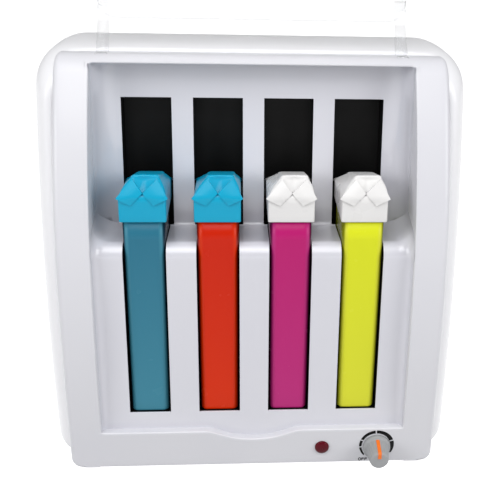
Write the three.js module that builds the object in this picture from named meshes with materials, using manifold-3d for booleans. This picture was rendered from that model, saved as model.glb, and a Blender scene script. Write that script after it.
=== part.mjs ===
// A roll-on wax heater: a white housing with four heated bays, a clear hinged lid, a dial,
// and four wax cartridges with their rollers and caps. Sizes are in millimetres.
// Depth is measured back from the foremost line of the pillars, and height from the housing's underside.
import * as THREE from "three";
import { mergeVertices } from "three/addons/utils/BufferGeometryUtils.js";
import Module from "manifold-3d";

const wasm = await Module();
wasm.setup();

// Fits
const gap = 0.3;
const wall = 2.5;
const overrun = 6;
const weld = 1e-3;
const full = 2 * Math.PI;
const quarter = Math.PI / 2;
const quarterDegrees = 90;

// Steps round a curve
const smallSteps = 12;
const steps = 16;
const fineSteps = 24;
const scoopSteps = 96;
const sideSteps = 5;
const hexagon = 6;

// Cartridge
const cartridgeWidth = 24;
const cartridgeDepth = 46;
const cartridgeHeight = 123.4;
const cartridgeWall = 1.2;
const cartridgeTaper = 0.6;
const cartridgeCorner = 4;
const waxLevelDrop = 7;
const headHeight = 9.5;
const headPlug = 5;
const rollerRadius = 9;
const rollerLength = 39;
const rollerRise = 5.8;
const axleRadius = 1.5;
const axleReach = 1.6;
const capWall = 1;
const capHeight = 27.9;
const capBandHeight = 14.8;
const capStart = 0.4;
const capCrownWidth = 16.4;
const crownShift = 2;
const crownFall = 0.25;
const capCrownDepth = 36;
const capRoof = 1.5;
const flapThickness = 1.2;
const flapDrop = 4.5;
const flapReach = 1;

// Bays
const bayCount = 4;
const bayPitch = 42;
const baySideMargin = 29.5;
const slotClearance = 0.4;
const shelfToCap = 13.8;
const sillHeight = 10.9;
const windowClearance = 1.4;
const windowHeight = 78.1;
const panelDepth = 48;
const panelFillet = 20;
const shelfEdgeRadius = 8;
const faceDepthAtShelf = 5.6;
const faceLean = 0.078;
const cartridgeSetback = 1.5;
const seatLift = 0.1;
const wellWall = 1.5;
const wellBackGap = 4;
const heaterThickness = 3;
const heaterWidth = 20;
const heaterHeight = 84;
const panelMargin = 21.2;

// Front frame
const pillarWidth = 19.8;
const ledgeHeight = 25;
const scoopHalfWidth = 23;
const scoopDepth = 6;
const bellyHeight = 130;
const lowerRadius = 600;
const lowerLean = 0.14;
const browDepth = 26.08;
const browRadius = 18;
const browDrop = 4.8;
const seamBehindBrow = 3.92;
const seamStep = 20;
const frameCorner = 12;
const frameEdge = 3.5;
const openingCorner = 0.8;

// Rear shell
const shellDepth = 150;
const rimStep = 5.7;
const flareWidth = 11.3;
const flareDepth = 34;
const flareDrop = 8;
const crownRise = 4.7;
const crownDepth = 95;
const crownRadius = 370;
const barrelDrop = 3.5;
const shellTopCorner = 20;
const shellBottomCorner = 10;
const rearRadius = 12;

// Base, feet and screws
const footHeight = 2.5;
const footRadius = 8;
const footInset = 32;
const footFrontDepth = 44;
const footRearInset = 29;
const footNubRadius = 3;
const bossRadius = 4.5;
const bossHeight = 34;
const bossInset = 25;
const baseRim = 17;
const bossFrontDepth = 62;
const bossRearInset = 46;
const screwRadius = 1.5;
const screwHeadRadius = 3;
const screwHeadHeight = 1.6;
const screwLength = 12;

// Controls
const dialSide = 76.6;
const controlHeight = 12;
const knobLength = 15.7;
const knobSkirtRadius = 8.7;
const knobTipRadius = 5.6;
const knobSkirtHeight = 3;
const knobFlutes = 12;
const flutePoints = 4;
const knobFluteDepth = 0.5;
const knobBoreRadius = 3.3;
const pointerWidth = 1.8;
const pointerHeight = 0.8;
const shaftRadius = 3;
const nutRadius = 5.5;
const nutHeight = 2;
const potRadius = 8;
const potLength = 9;
const lensSide = 42.3;
const lensRadius = 4.4;
const lensDome = 1.6;
const lensStemRadius = 3.4;
const lensStemLength = 7;
const lampRadius = 3.2;
const lampLength = 10;
const boardWidth = 70;
const boardDepth = 46;
const boardThickness = 1.6;
const boardRise = 9;
const boardRearRoom = 20;
const transformerWidth = 26;
const transformerHeight = 20;
const standoffRadius = 3;
const inletWidth = 24;
const inletHeight = 16;
const inletDepth = 20;
const inletSide = 80;
const inletLevel = 26;
const inletFlange = 3;
const inletPinRadius = 1.2;
const inletPinSpread = 4.3;

// Lid
const lidSideGap = 1.2;
const lidWall = 2;
const lidStandoff = 3.6;
const lidFlange = 2.5;
const lidFoot = 1;
const lidFootDepth = 4.5;
const lidTopDrop = 13.8;
const lidBrowReach = 0.3;
const lidCorner = 12;
const lugWidth = 7;
const lugInset = 6;
const lugRadius = 2.6;
const lugArm = 1.7;
const lugKnee = 12.1;
const lugKneeDrop = 7.8;
const hingeBehindSeam = 8.5;
const pinRadius = 1;
const pinClearance = 0.3;
const pinLength = 13;
const notchSlack = 0.5;
const notchReach = 18.5;
const notchRoom = 10;
const lidOpening = (170 * Math.PI) / 180;

// Places worked out from the sizes above
const slotWidth = cartridgeWidth + 2 * slotClearance;
const capWidth = cartridgeWidth + 2 * (gap + capWall);
const capDepth = cartridgeDepth + 2 * (gap + capWall);
const windowWidth = capWidth + 2 * windowClearance;
const slotFloor = ledgeHeight + sillHeight;
const shelfHeight = slotFloor + cartridgeHeight - shelfToCap;
const windowTop = shelfHeight + windowHeight;
const roofHeight = windowTop + panelMargin;
const openingHalfWidth = ((bayCount - 1) * bayPitch) / 2 + baySideMargin;
const frameHalfWidth = openingHalfWidth + pillarWidth;
const rimHalfWidth = frameHalfWidth + rimStep;
const shellHalfWidth = rimHalfWidth + flareWidth;
const upperHeight = roofHeight - browDrop - bellyHeight;
const upperRadius = (upperHeight ** 2 + browDepth ** 2) / (2 * browDepth);
const browAngle = Math.asin(upperHeight / upperRadius);
const browCentre = [
  upperRadius - (upperRadius - browRadius) * Math.cos(browAngle),
  bellyHeight + (upperRadius - browRadius) * Math.sin(browAngle),
];
const frameTop = browCentre[1] + browRadius;
const shellTop = frameTop + crownRise;
const leanAngle = Math.atan(faceLean);
const sideSeamDepth = browDepth + seamBehindBrow;
const topSeamDepth = sideSeamDepth + seamStep;
const hingeDepth = sideSeamDepth + hingeBehindSeam;
const footRearDepth = shellDepth - footRearInset;
const bossRearDepth = shellDepth - bossRearInset;
const boardStart = shellDepth - boardRearRoom - boardDepth;
const insertHalfWidth = openingHalfWidth - gap;
const lidHalfWidth = openingHalfWidth - lidSideGap;
const lugSide = openingHalfWidth - lugInset;
const scoopRadius = (scoopHalfWidth ** 2 + scoopDepth ** 2) / (2 * scoopDepth);
const hingeHeight = roofHeight + lugRadius + gap;

// A closed geometry as a solid that can be joined and cut
function solid(geometry) {
  const plain = geometry.index ? geometry.toNonIndexed() : geometry.clone();
  plain.deleteAttribute("normal");
  plain.deleteAttribute("uv");
  const merged = mergeVertices(plain, weld / 10);
  return new wasm.Manifold(
    new wasm.Mesh({
      numProp: 3,
      vertProperties: merged.attributes.position.array,
      triVerts: new Uint32Array(merged.index.array),
    }),
  );
}

// Corners closer together than the weld distance become one
function welded(geometry) {
  const merged = mergeVertices(geometry, weld);
  const faces = Array.from(
    { length: merged.index.count / 3 }, (_, i) => merged.index.array.slice(3 * i, 3 * i + 3),
  );
  merged.setIndex(faces.filter(([a, b, c]) => a !== b && b !== c && c !== a).flatMap((face) => [...face]));
  return merged;
}

function part(name, body, material, parent) {
  const cut = body.getMesh();
  const points = new Float32Array(cut.numVert * 3);
  for (let i = 0; i < cut.numVert; i++) {
    points.set(cut.vertProperties.subarray(i * cut.numProp, i * cut.numProp + 3), i * 3);
  }
  const geometry = new THREE.BufferGeometry();
  geometry.setAttribute("position", new THREE.BufferAttribute(points, 3));
  geometry.setIndex(new THREE.BufferAttribute(new Uint32Array(cut.triVerts), 1));
  const mesh = new THREE.Mesh(welded(geometry), material);
  mesh.geometry.computeVertexNormals();
  mesh.name = name;
  parent.add(mesh);
  return mesh;
}

function outline(points) {
  return new THREE.Shape(points.map(([a, b]) => new THREE.Vector2(a, b)));
}

// The points of an arc round a centre, from one angle to another
function arc([a, b], radius, from, to, count) {
  return Array.from({ length: count + 1 }, (_, i) => {
    const angle = from + ((to - from) * i) / count;
    return [a + radius * Math.cos(angle), b + radius * Math.sin(angle)];
  });
}

// A rectangle with rounded corners, anticlockwise; radii are given for its bottom and top corners
function roundedRectangle(left, low, right, high, bottomRadius, topRadius, count = 4) {
  return [
    ...arc([right - bottomRadius, low + bottomRadius], bottomRadius, -quarter, 0, count),
    ...arc([right - topRadius, high - topRadius], topRadius, 0, quarter, count),
    ...arc([left + topRadius, high - topRadius], topRadius, quarter, 2 * quarter, count),
    ...arc([left + bottomRadius, low + bottomRadius], bottomRadius, 2 * quarter, 3 * quarter, count),
  ];
}

// A (depth, height) outline carried across the width; an edge radius rounds both its ends
function across(points, left, right, edge = 0) {
  const geometry = new THREE.ExtrudeGeometry(outline(points), {
    depth: right - left - 2 * edge,
    bevelEnabled: edge > 0,
    bevelSize: edge,
    bevelOffset: -edge,
    bevelThickness: edge,
    bevelSegments: 3,
    curveSegments: 1,
  });
  const placing = new THREE.Matrix4().set(0, 0, 1, left + edge, 1, 0, 0, 0, 0, 1, 0, 0, 0, 0, 0, 1);
  return solid(geometry.applyMatrix4(placing));
}

// A (side, height) outline carried back from one depth to another
function backwards(points, near, far) {
  const geometry = new THREE.ExtrudeGeometry(outline(points), { depth: far - near, bevelEnabled: false });
  const placing = new THREE.Matrix4().set(1, 0, 0, 0, 0, 0, -1, far, 0, 1, 0, 0, 0, 0, 0, 1);
  return solid(geometry.applyMatrix4(placing));
}

// A (side, depth) outline carried up from one height to another
function upwards(points, low, high) {
  const geometry = new THREE.ExtrudeGeometry(outline(points), { depth: high - low, bevelEnabled: false });
  return solid(geometry.translate(0, 0, low));
}

function block(left, right, near, far, low, high) {
  const geometry = new THREE.BoxGeometry(right - left, far - near, high - low);
  return solid(geometry.translate((left + right) / 2, (near + far) / 2, (low + high) / 2));
}

// A turned piece: its profile of (radius, height) points starts and ends on the axis, which points up
function turned(profile, around) {
  const geometry = new THREE.LatheGeometry(outline(profile).getPoints(), around);
  return solid(geometry.rotateX(quarter));
}

function rod(radius, low, high, around = steps) {
  return turned([[0, low], [radius, low], [radius, high], [0, high]], around);
}

// Closed rings of equal length joined into one solid, with flat ends
function loft(rings) {
  const count = rings[0].length;
  const points = rings.flat();
  const faces = [];
  rings.slice(1).forEach((_, r) => {
    for (let i = 0; i < count; i++) {
      const a = r * count + i;
      const b = r * count + ((i + 1) % count);
      faces.push(a, b, b + count, a, b + count, a + count);
    }
  });
  [0, rings.length - 1].forEach((r) => {
    const centre = points.length;
    const middle = rings[r].reduce((sum, p) => sum.add(p), new THREE.Vector3());
    points.push(middle.divideScalar(count));
    for (let i = 0; i < count; i++) {
      const a = r * count + i;
      const b = r * count + ((i + 1) % count);
      faces.push(centre, ...(r === 0 ? [b, a] : [a, b]));
    }
  });
  const geometry = new THREE.BufferGeometry().setFromPoints(points);
  geometry.setIndex(faces);
  return solid(geometry);
}

// The housing's front line: a straight leaning foot, a long lower arc, an upper arc and the brow
function pillarFront(height) {
  const footTop = bellyHeight - lowerRadius * Math.sin(lowerLean);
  const footDepth = lowerRadius * (1 - Math.cos(lowerLean));
  if (height < footTop) {
    return footDepth + Math.tan(lowerLean) * (footTop - height);
  }
  const radius = height < bellyHeight ? lowerRadius : upperRadius;
  return radius - Math.sqrt(radius ** 2 - (height - bellyHeight) ** 2);
}

function frontLine(inset, browEnd = quarter) {
  const foot = [pillarFront(0) + inset / Math.cos(lowerLean), 0];
  const reflected = (angle) => Math.PI - angle;
  return [
    foot,
    ...arc([lowerRadius, bellyHeight], lowerRadius - inset, reflected(-lowerLean), reflected(0), 4),
    ...arc([upperRadius, bellyHeight], upperRadius - inset, reflected(0), reflected(browAngle), 8).slice(1),
    ...arc(browCentre, browRadius - inset, reflected(browAngle), reflected(browEnd), 5).slice(1),
  ];
}

function faceDepth(height) {
  return faceDepthAtShelf + faceLean * (shelfHeight - height);
}

function bayCentre(index) {
  return (index - (bayCount - 1) / 2) * bayPitch;
}

// A line given a thickness to both sides, with its bends mitred
function band(line, half) {
  const leg = (i) => Math.atan2(line[i + 1][1] - line[i][1], line[i + 1][0] - line[i][0]);
  const last = line.length - 1;
  const shifted = (turn) => line.map(([a, b], i) => {
    const before = leg(Math.max(i - 1, 0));
    const after = leg(Math.min(i, last - 1));
    const heading = (before + after) / 2;
    const reach = (turn * half) / Math.cos((after - before) / 2);
    return [a - reach * Math.sin(heading), b + reach * Math.cos(heading)];
  });
  return [...shifted(1), ...shifted(-1).reverse()];
}

function openingOutline(grow) {
  const half = openingHalfWidth + grow;
  const low = ledgeHeight - grow;
  const centre = [0, ledgeHeight - scoopDepth + scoopRadius];
  const radius = scoopRadius + grow;
  const reach = Math.asin((scoopHalfWidth + grow) / radius);
  const corners = roundedRectangle(-half, low, half, roofHeight + grow, openingCorner, openingCorner, 3);
  return [...arc(centre, radius, -quarter - reach, -quarter + reach, 8), ...corners];
}

function frontFrame() {
  const frame = [-frameHalfWidth, frameHalfWidth];
  const close = (line, far) => [...line, [far, line.at(-1)[1]], [far, 0]];
  const shape = roundedRectangle(frame[0], 0, frame[1], frameTop + overrun, frameCorner, frameCorner);
  const inside = roundedRectangle(
    frame[0] + wall, wall, frame[1] - wall, roofHeight - gap, frameCorner - wall, frameCorner - wall,
  );
  const outer = across(close(frontLine(0), topSeamDepth + frameEdge), ...frame, frameEdge).intersect(
    backwards(shape, -overrun, topSeamDepth),
  );
  const behind = block(
    frame[0] - overrun, frame[1] + overrun, sideSeamDepth, topSeamDepth + overrun,
    -overrun, roofHeight - pillarWidth,
  );
  const hollow = across(
    close(frontLine(wall), topSeamDepth + overrun), frame[0] - overrun, frame[1] + overrun,
  ).intersect(backwards(inside, -overrun, topSeamDepth + overrun));
  const opening = backwards(openingOutline(0), -overrun, topSeamDepth + overrun);
  const reveal = backwards(openingOutline(wall), -overrun, panelDepth - panelFillet - gap)
    .subtract(opening)
    .intersect(across(close(frontLine(0), topSeamDepth), ...frame));
  let body = outer.subtract(behind).subtract(hollow).subtract(opening).add(reveal);
  [-1, 1].forEach((side) => {
    const half = lugWidth / 2 + notchSlack;
    const low = roofHeight - overrun;
    const notch = block(
      side * lugSide - half, side * lugSide + half, hingeDepth - notchReach, hingeDepth + notchRoom,
      low, frameTop + overrun,
    );
    body = body.subtract(notch).subtract(hingeBore(side));
  });
  return body.subtract(controlBore(dialSide, shaftRadius + 2 * gap))
    .subtract(controlBore(lensSide, lensStemRadius + gap));
}

function hingeBore(side) {
  const bore = rod(pinRadius + pinClearance, -pinLength / 2 - gap, pinLength / 2 + gap, smallSteps);
  return bore.rotate([0, quarterDegrees, 0]).translate([side * lugSide, hingeDepth, hingeHeight]);
}

// A hole through the control strip, square to its leaning face
function controlBore(side, radius) {
  const bore = rod(radius, -wall - overrun, overrun, fineSteps);
  return bore.rotate([quarterDegrees + THREE.MathUtils.radToDeg(lowerLean), 0, 0])
    .translate([side, pillarFront(controlHeight), controlHeight]);
}

// The rear shell's outline at one depth: a barrel-sided rectangle with rounded corners
function shellRing(depth, inset, low) {
  const before = Math.max(0, (sideSeamDepth + flareDepth - depth) / flareDepth);
  const flare = 1 - Math.sqrt(1 - Math.min(1, before) ** 2);
  const past = Math.max(0, depth - (shellDepth - rearRadius));
  const rounding = rearRadius - Math.sqrt(Math.max(0, rearRadius ** 2 - past ** 2));
  const half = shellHalfWidth - flareWidth * flare - rounding - inset;
  const crown = crownRadius - Math.sqrt(crownRadius ** 2 - (depth - crownDepth) ** 2);
  const high = shellTop - crown - flareDrop * flare - rounding - inset;
  const bottomCorner = Math.max(shellBottomCorner - inset, wall);
  const bottom = low === undefined ? Math.min(rounding, bottomCorner) : low;
  const corner = Math.max(shellTopCorner - inset, wall);
  const points = roundedRectangle(-half, bottom, half, high, bottomCorner, corner);
  const side = (x, from, to) => Array.from({ length: sideSteps - 1 }, (_, i) => [
    x, from + ((to - from) * (i + 1)) / sideSteps,
  ]);
  const corners = 4;
  const perCorner = points.length / corners;
  const lowEnd = bottom + bottomCorner;
  const highEnd = high - corner;
  const ring = [
    ...points.slice(0, perCorner),
    ...side(half, lowEnd, highEnd),
    ...points.slice(perCorner, 3 * perCorner),
    ...side(-half, highEnd, lowEnd),
    ...points.slice(3 * perCorner),
  ];
  return ring.reverse().map(([x, z]) => {
    const drop = barrelDrop * ((z - bellyHeight) / bellyHeight) ** 2;
    return new THREE.Vector3(x - Math.sign(x) * drop, depth, z);
  });
}

function shellLoft(inset, near, far, low) {
  const flareShares = [0, 0.05, 0.18, 0.4, 0.68, 1];
  const backShares = [0, 0.4, 0.75, 0.95];
  const stations = [
    ...flareShares.map((share) => sideSeamDepth + flareDepth * share),
    crownDepth,
    (crownDepth + shellDepth) / 2,
    ...backShares.map((share) => shellDepth - rearRadius * (1 - share)),
  ];
  const inside = stations.filter((depth) => depth > near && depth < far);
  return loft([near, ...inside, far].map((depth) => shellRing(depth, inset, low)));
}

function rearShell() {
  const near = sideSeamDepth;
  const half = frameHalfWidth + gap;
  const aperture = backwards(
    roundedRectangle(-half, -gap, half, frameTop + overrun, frameCorner, frameCorner),
    near - overrun, near + wall + overrun,
  );
  const browRoom = block(-half, half, near - overrun, topSeamDepth + gap, bellyHeight, frameTop + overrun);
  const rim = shellHalfWidth - baseRim;
  const underside = block(-rim, rim, near, shellDepth - baseRim, -overrun, wall + overrun);
  let body = shellLoft(0, near, shellDepth)
    .subtract(shellLoft(wall, near + wall, shellDepth - wall, wall))
    .subtract(aperture)
    .subtract(browRoom)
    .subtract(underside);
  const inner = shellLoft(wall / 2, near + wall / 2, shellDepth - wall / 2, 0);
  bossPlaces().forEach(([x, y]) => {
    const low = wall + gap;
    const [left, right] = [x, Math.sign(x) * shellHalfWidth].sort((a, b) => a - b);
    const rib = block(left, right, y - wall / 2, y + wall / 2, low, bossHeight);
    const boss = rod(bossRadius, low, bossHeight).translate([x, y, 0]);
    const bore = rod(screwRadius + gap, 0, screwLength + gap, smallSteps).translate([x, y, 0]);
    body = body.add(boss.add(rib).intersect(inner)).subtract(bore);
  });
  const hole = [inletWidth / 2 + gap, inletHeight / 2 + gap];
  return body.subtract(block(
    -inletSide - hole[0], -inletSide + hole[0], shellDepth - overrun, shellDepth + overrun,
    inletLevel - hole[1], inletLevel + hole[1],
  ));
}

function bossPlaces() {
  const side = shellHalfWidth - bossInset;
  return [-side, side].flatMap((x) => [[x, bossFrontDepth], [x, bossRearDepth]]);
}

function footPlaces() {
  const side = shellHalfWidth - footInset;
  return [
    ["front_left", -side, footFrontDepth], ["front_right", side, footFrontDepth],
    ["rear_left", -side, footRearDepth], ["rear_right", side, footRearDepth],
  ];
}

function basePlate() {
  const near = sideSeamDepth + gap;
  const half = shellHalfWidth - baseRim - gap;
  let body = block(-half, half, near, shellDepth - baseRim - gap, 0, wall);
  bossPlaces().forEach(([x, y]) => {
    const sink = rod(screwHeadRadius + gap, -gap, screwHeadHeight + gap);
    const hole = rod(screwRadius + gap, -gap, wall + gap, smallSteps);
    body = body.subtract(sink.add(hole).translate([x, y, 0]));
  });
  footPlaces().forEach(([, x, y]) => {
    body = body.subtract(rod(footNubRadius + gap, -gap, wall + gap, fineSteps).translate([x, y, 0]));
  });
  boardCorners().forEach(([x, y]) => {
    body = body.add(rod(standoffRadius, wall / 2, boardRise, smallSteps).translate([x, y, 0]));
  });
  return body;
}

function boardCorners() {
  const inset = standoffRadius + gap;
  return [-1, 1].flatMap((side) => [
    [side * (boardWidth / 2 - inset), boardStart + inset],
    [side * (boardWidth / 2 - inset), boardStart + boardDepth - inset],
  ]);
}

// The bay insert: a face, a shelf with a rounded edge and a back panel, filleted to its sides
function bayInsert() {
  const low = ledgeHeight + gap;
  const high = roofHeight - gap;
  const half = insertHalfWidth;
  const edge = [faceDepth(shelfHeight - shelfEdgeRadius) + shelfEdgeRadius, shelfHeight - shelfEdgeRadius];
  const skin = [
    [faceDepth(low), low],
    ...arc(edge, shelfEdgeRadius, Math.PI, quarter, 5),
    [panelDepth, shelfHeight],
    [panelDepth, high],
    [panelDepth + wall, high],
    [panelDepth + wall, shelfHeight - wall],
    ...arc(edge, shelfEdgeRadius - wall, quarter, Math.PI, 5),
    [faceDepth(low) + wall, low],
  ];
  let body = across(skin, -half, half);
  const centre = [0, ledgeHeight - scoopDepth + scoopRadius];
  const tongue = [
    [faceDepth(0), 0], [faceDepth(low + wall), low + wall],
    [faceDepth(low + wall) + wall, low + wall], [faceDepth(0) + wall, 0],
  ];
  const scoop = backwards(arc(centre, scoopRadius - gap, 0, full, scoopSteps).slice(1), 0, panelDepth);
  body = body.add(across(tongue, -scoopHalfWidth, scoopHalfWidth).intersect(scoop));
  [-1, 1].forEach((side) => {
    const heart = [half - panelFillet, panelDepth - panelFillet];
    const strip = [
      ...arc(heart, panelFillet, 0, quarter, 6), ...arc(heart, panelFillet + wall, quarter, 0, 6),
    ];
    const placed = side > 0 ? strip.reverse() : strip.map(([x, y]) => [-x, y]);
    body = body.add(upwards(placed, shelfHeight - wall, high));
    const cheek = [
      [faceDepth(low), low], [faceDepth(edge[1]), edge[1]], [edge[0], shelfHeight - wall],
      [panelDepth, shelfHeight - wall], [panelDepth, low],
    ];
    const sides = side > 0 ? [half - wall, half] : [-half, wall - half];
    body = body.add(across(cheek.reverse(), ...sides));
  });
  const rear = panelDepth + overrun;
  const side = frameHalfWidth;
  body = body.intersect(across([...frontLine(wall + gap), [rear, frameTop], [rear, 0]], -side, side));
  for (let i = 0; i < bayCount; i++) {
    const x = bayCentre(i);
    const [narrow, wide] = [slotWidth / 2, windowWidth / 2];
    body = body
      .subtract(block(x - wide, x + wide, panelDepth - overrun, panelDepth + overrun, shelfHeight, windowTop))
      .subtract(block(x - narrow, x + narrow, -overrun, panelDepth + overrun, slotFloor, shelfHeight + gap));
  }
  return body;
}

// A heat well: a trough behind the slot and a taller chamber behind the window
function heatWell(x) {
  const near = faceDepth(slotFloor) + wall + gap;
  const edgeRadius = shelfEdgeRadius - wall - gap;
  const edge = [faceDepth(shelfHeight - shelfEdgeRadius) + shelfEdgeRadius, shelfHeight - shelfEdgeRadius];
  const top = shelfHeight - wall - gap;
  const floor = slotFloor - gap;
  const back = wellBack(slotFloor);
  const backTop = wellBack(top);
  const chamberBack = back + wellWall;
  const narrow = slotWidth / 2 + gap;
  const wide = windowWidth / 2 + gap;
  const panel = panelDepth + wall + gap;
  const trough = (grow, over) => [
    [near - over, floor - grow], [back + grow, floor - grow], [backTop + grow, top],
    ...arc([edge[0] - over, edge[1]], edgeRadius, quarter, Math.PI, 3),
  ];
  const outer = across(trough(wellWall, 0), x - narrow - wellWall, x + narrow + wellWall);
  const chamber = block(
    x - wide - wellWall, x + wide + wellWall, panel, chamberBack + wellWall, top - wellWall,
    windowTop + wellWall + gap,
  );
  const troughRoom = across(trough(0, overrun), x - narrow, x + narrow);
  const throat = block(x - narrow, x + narrow, panel - overrun, backTop, top - 2 * wellWall, top + wellWall);
  const chamberRoom = block(x - wide, x + wide, panel - overrun, chamberBack, top, windowTop + gap);
  return outer.add(chamber).subtract(troughRoom).subtract(throat).subtract(chamberRoom);
}

function wellBack(height) {
  return faceDepth(height) + cartridgeSetback + cartridgeDepth + wellBackGap;
}

function heaterPlate(x) {
  const middle = (slotFloor + shelfHeight) / 2;
  const low = middle - heaterHeight / 2;
  const high = middle + heaterHeight / 2;
  const seat = (height) => wellBack(height) + wellWall + gap;
  const plate = [
    [seat(low), low], [seat(low) + heaterThickness, low],
    [seat(high) + heaterThickness, high], [seat(high), high],
  ];
  return across(plate, x - heaterWidth / 2, x + heaterWidth / 2);
}

function lid() {
  const bottom = ledgeHeight + lidFoot;
  const top = roofHeight - lidTopDrop;
  const line = (inset) => frontLine(inset, browAngle + lidBrowReach);
  const limits = block(-lidHalfWidth, lidHalfWidth, -2 * overrun, hingeDepth, bottom, top);
  const tray = across(
    [...line(-lidStandoff - lidWall), [panelDepth, roofHeight], [panelDepth, 0]], -lidHalfWidth, lidHalfWidth,
  ).subtract(across(
    [...line(lidFlange), [panelDepth + overrun, roofHeight], [panelDepth + overrun, 0]],
    -lidHalfWidth - overrun, lidHalfWidth + overrun,
  ));
  const room = across(
    [...line(-lidStandoff), [panelDepth + overrun, roofHeight], [panelDepth + overrun, 0]],
    lidWall - lidHalfWidth, lidHalfWidth - lidWall,
  ).intersect(block(-lidHalfWidth, lidHalfWidth, -overrun, panelDepth, bottom + lidWall, top + overrun));
  const rounded = backwards(
    roundedRectangle(-lidHalfWidth, bottom, lidHalfWidth, top, openingCorner, lidCorner, 6),
    -2 * overrun, hingeDepth,
  );
  let body = tray.intersect(limits).intersect(rounded).subtract(room);
  const footDepth = pillarFront(bottom) - lidStandoff;
  body = body.add(block(
    lidCorner - lidHalfWidth, lidHalfWidth - lidCorner, footDepth, footDepth + lidStandoff + lidFootDepth,
    bottom, bottom + lidWall,
  ));
  [-1, 1].forEach((side) => {
    body = body.add(lidLug(side)).subtract(hingeBore(side));
  });
  return body;
}

// A lug: an eye round the pin, and an arm that runs forward over the lip and down to the sheet
function lidLug(side) {
  const top = roofHeight - lidTopDrop;
  const sheet = pillarFront(top - lidCorner) - lidStandoff;
  const sheetTop = pillarFront(top) - lidStandoff;
  const sides = [side * lugSide - lugWidth / 2, side * lugSide + lugWidth / 2];
  const eye = across(arc([hingeDepth, hingeHeight], lugRadius, 0, full, fineSteps).slice(1), ...sides);
  const arm = [
    [hingeDepth, hingeHeight], [hingeDepth - 2 * lugRadius, hingeHeight],
    [hingeDepth - lugKnee, hingeHeight - lugKneeDrop], [sheetTop, top], [sheet, top - lidCorner],
  ];
  return eye.add(across(band(arm, lugArm), ...sides));
}

// Cartridge pieces stand on their own floor, with the middle of the floor as their origin
function cartridgeRing(height, inset) {
  const share = height / cartridgeHeight;
  const half = cartridgeWidth / 2 - cartridgeTaper * (1 - share) - inset;
  const deep = cartridgeDepth / 2 - cartridgeTaper * (1 - share) - inset;
  const corner = cartridgeCorner - inset;
  return roundedRectangle(-half, -deep, half, deep, corner, corner, 3)
    .map(([x, y]) => new THREE.Vector3(x, y, height));
}

function cartridgeBody() {
  const outer = loft([
    cartridgeRing(0, cartridgeWall), cartridgeRing(cartridgeWall, 0), cartridgeRing(cartridgeHeight, 0),
  ]);
  const room = loft([
    cartridgeRing(cartridgeWall, cartridgeWall), cartridgeRing(cartridgeHeight + gap, cartridgeWall),
  ]);
  return outer.subtract(room);
}

function waxFill() {
  const inset = cartridgeWall + gap;
  return loft([
    cartridgeRing(cartridgeWall + gap, inset),
    cartridgeRing(cartridgeHeight - headPlug - waxLevelDrop, inset),
  ]);
}

function rollerHeight() {
  return cartridgeHeight + rollerRise;
}

function rollerHead() {
  const plug = loft([
    cartridgeRing(cartridgeHeight - headPlug, cartridgeWall + gap),
    cartridgeRing(cartridgeHeight + wall, cartridgeWall + gap),
  ]);
  const top = cartridgeHeight + headHeight;
  const brim = loft([cartridgeHeight + gap, top].map(
    (height) => cartridgeRing(cartridgeHeight, gap).map((p) => p.clone().setZ(height)),
  ));
  const length = rollerLength + 2 * gap;
  const pocket = rod(rollerRadius + 2 * gap, -length / 2, length / 2, fineSteps);
  const throat = block(
    -rollerRadius - 2 * gap, rollerRadius + 2 * gap, -length / 2, length / 2, 0, 2 * rollerRadius,
  );
  const axleEnd = length / 2 + axleReach + gap;
  const axle = rod(axleRadius + gap, -axleEnd, axleEnd, smallSteps);
  const feed = block(-rollerRadius / 2, rollerRadius / 2, -length / 4, length / 4, -2 * rollerRadius, 0);
  return plug.add(brim).subtract(
    pocket.add(axle).rotate([quarterDegrees, 0, 0]).add(throat).add(feed).translate([0, 0, rollerHeight()]),
  );
}

function roller() {
  const half = rollerLength / 2;
  const end = half + gap + axleReach;
  const profile = [
    [0, -end], [axleRadius, -end], [axleRadius, -half], [rollerRadius, -half],
    [rollerRadius, half], [axleRadius, half], [axleRadius, end], [0, end],
  ];
  return turned(profile, fineSteps).rotate([quarterDegrees, 0, 0]);
}

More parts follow.
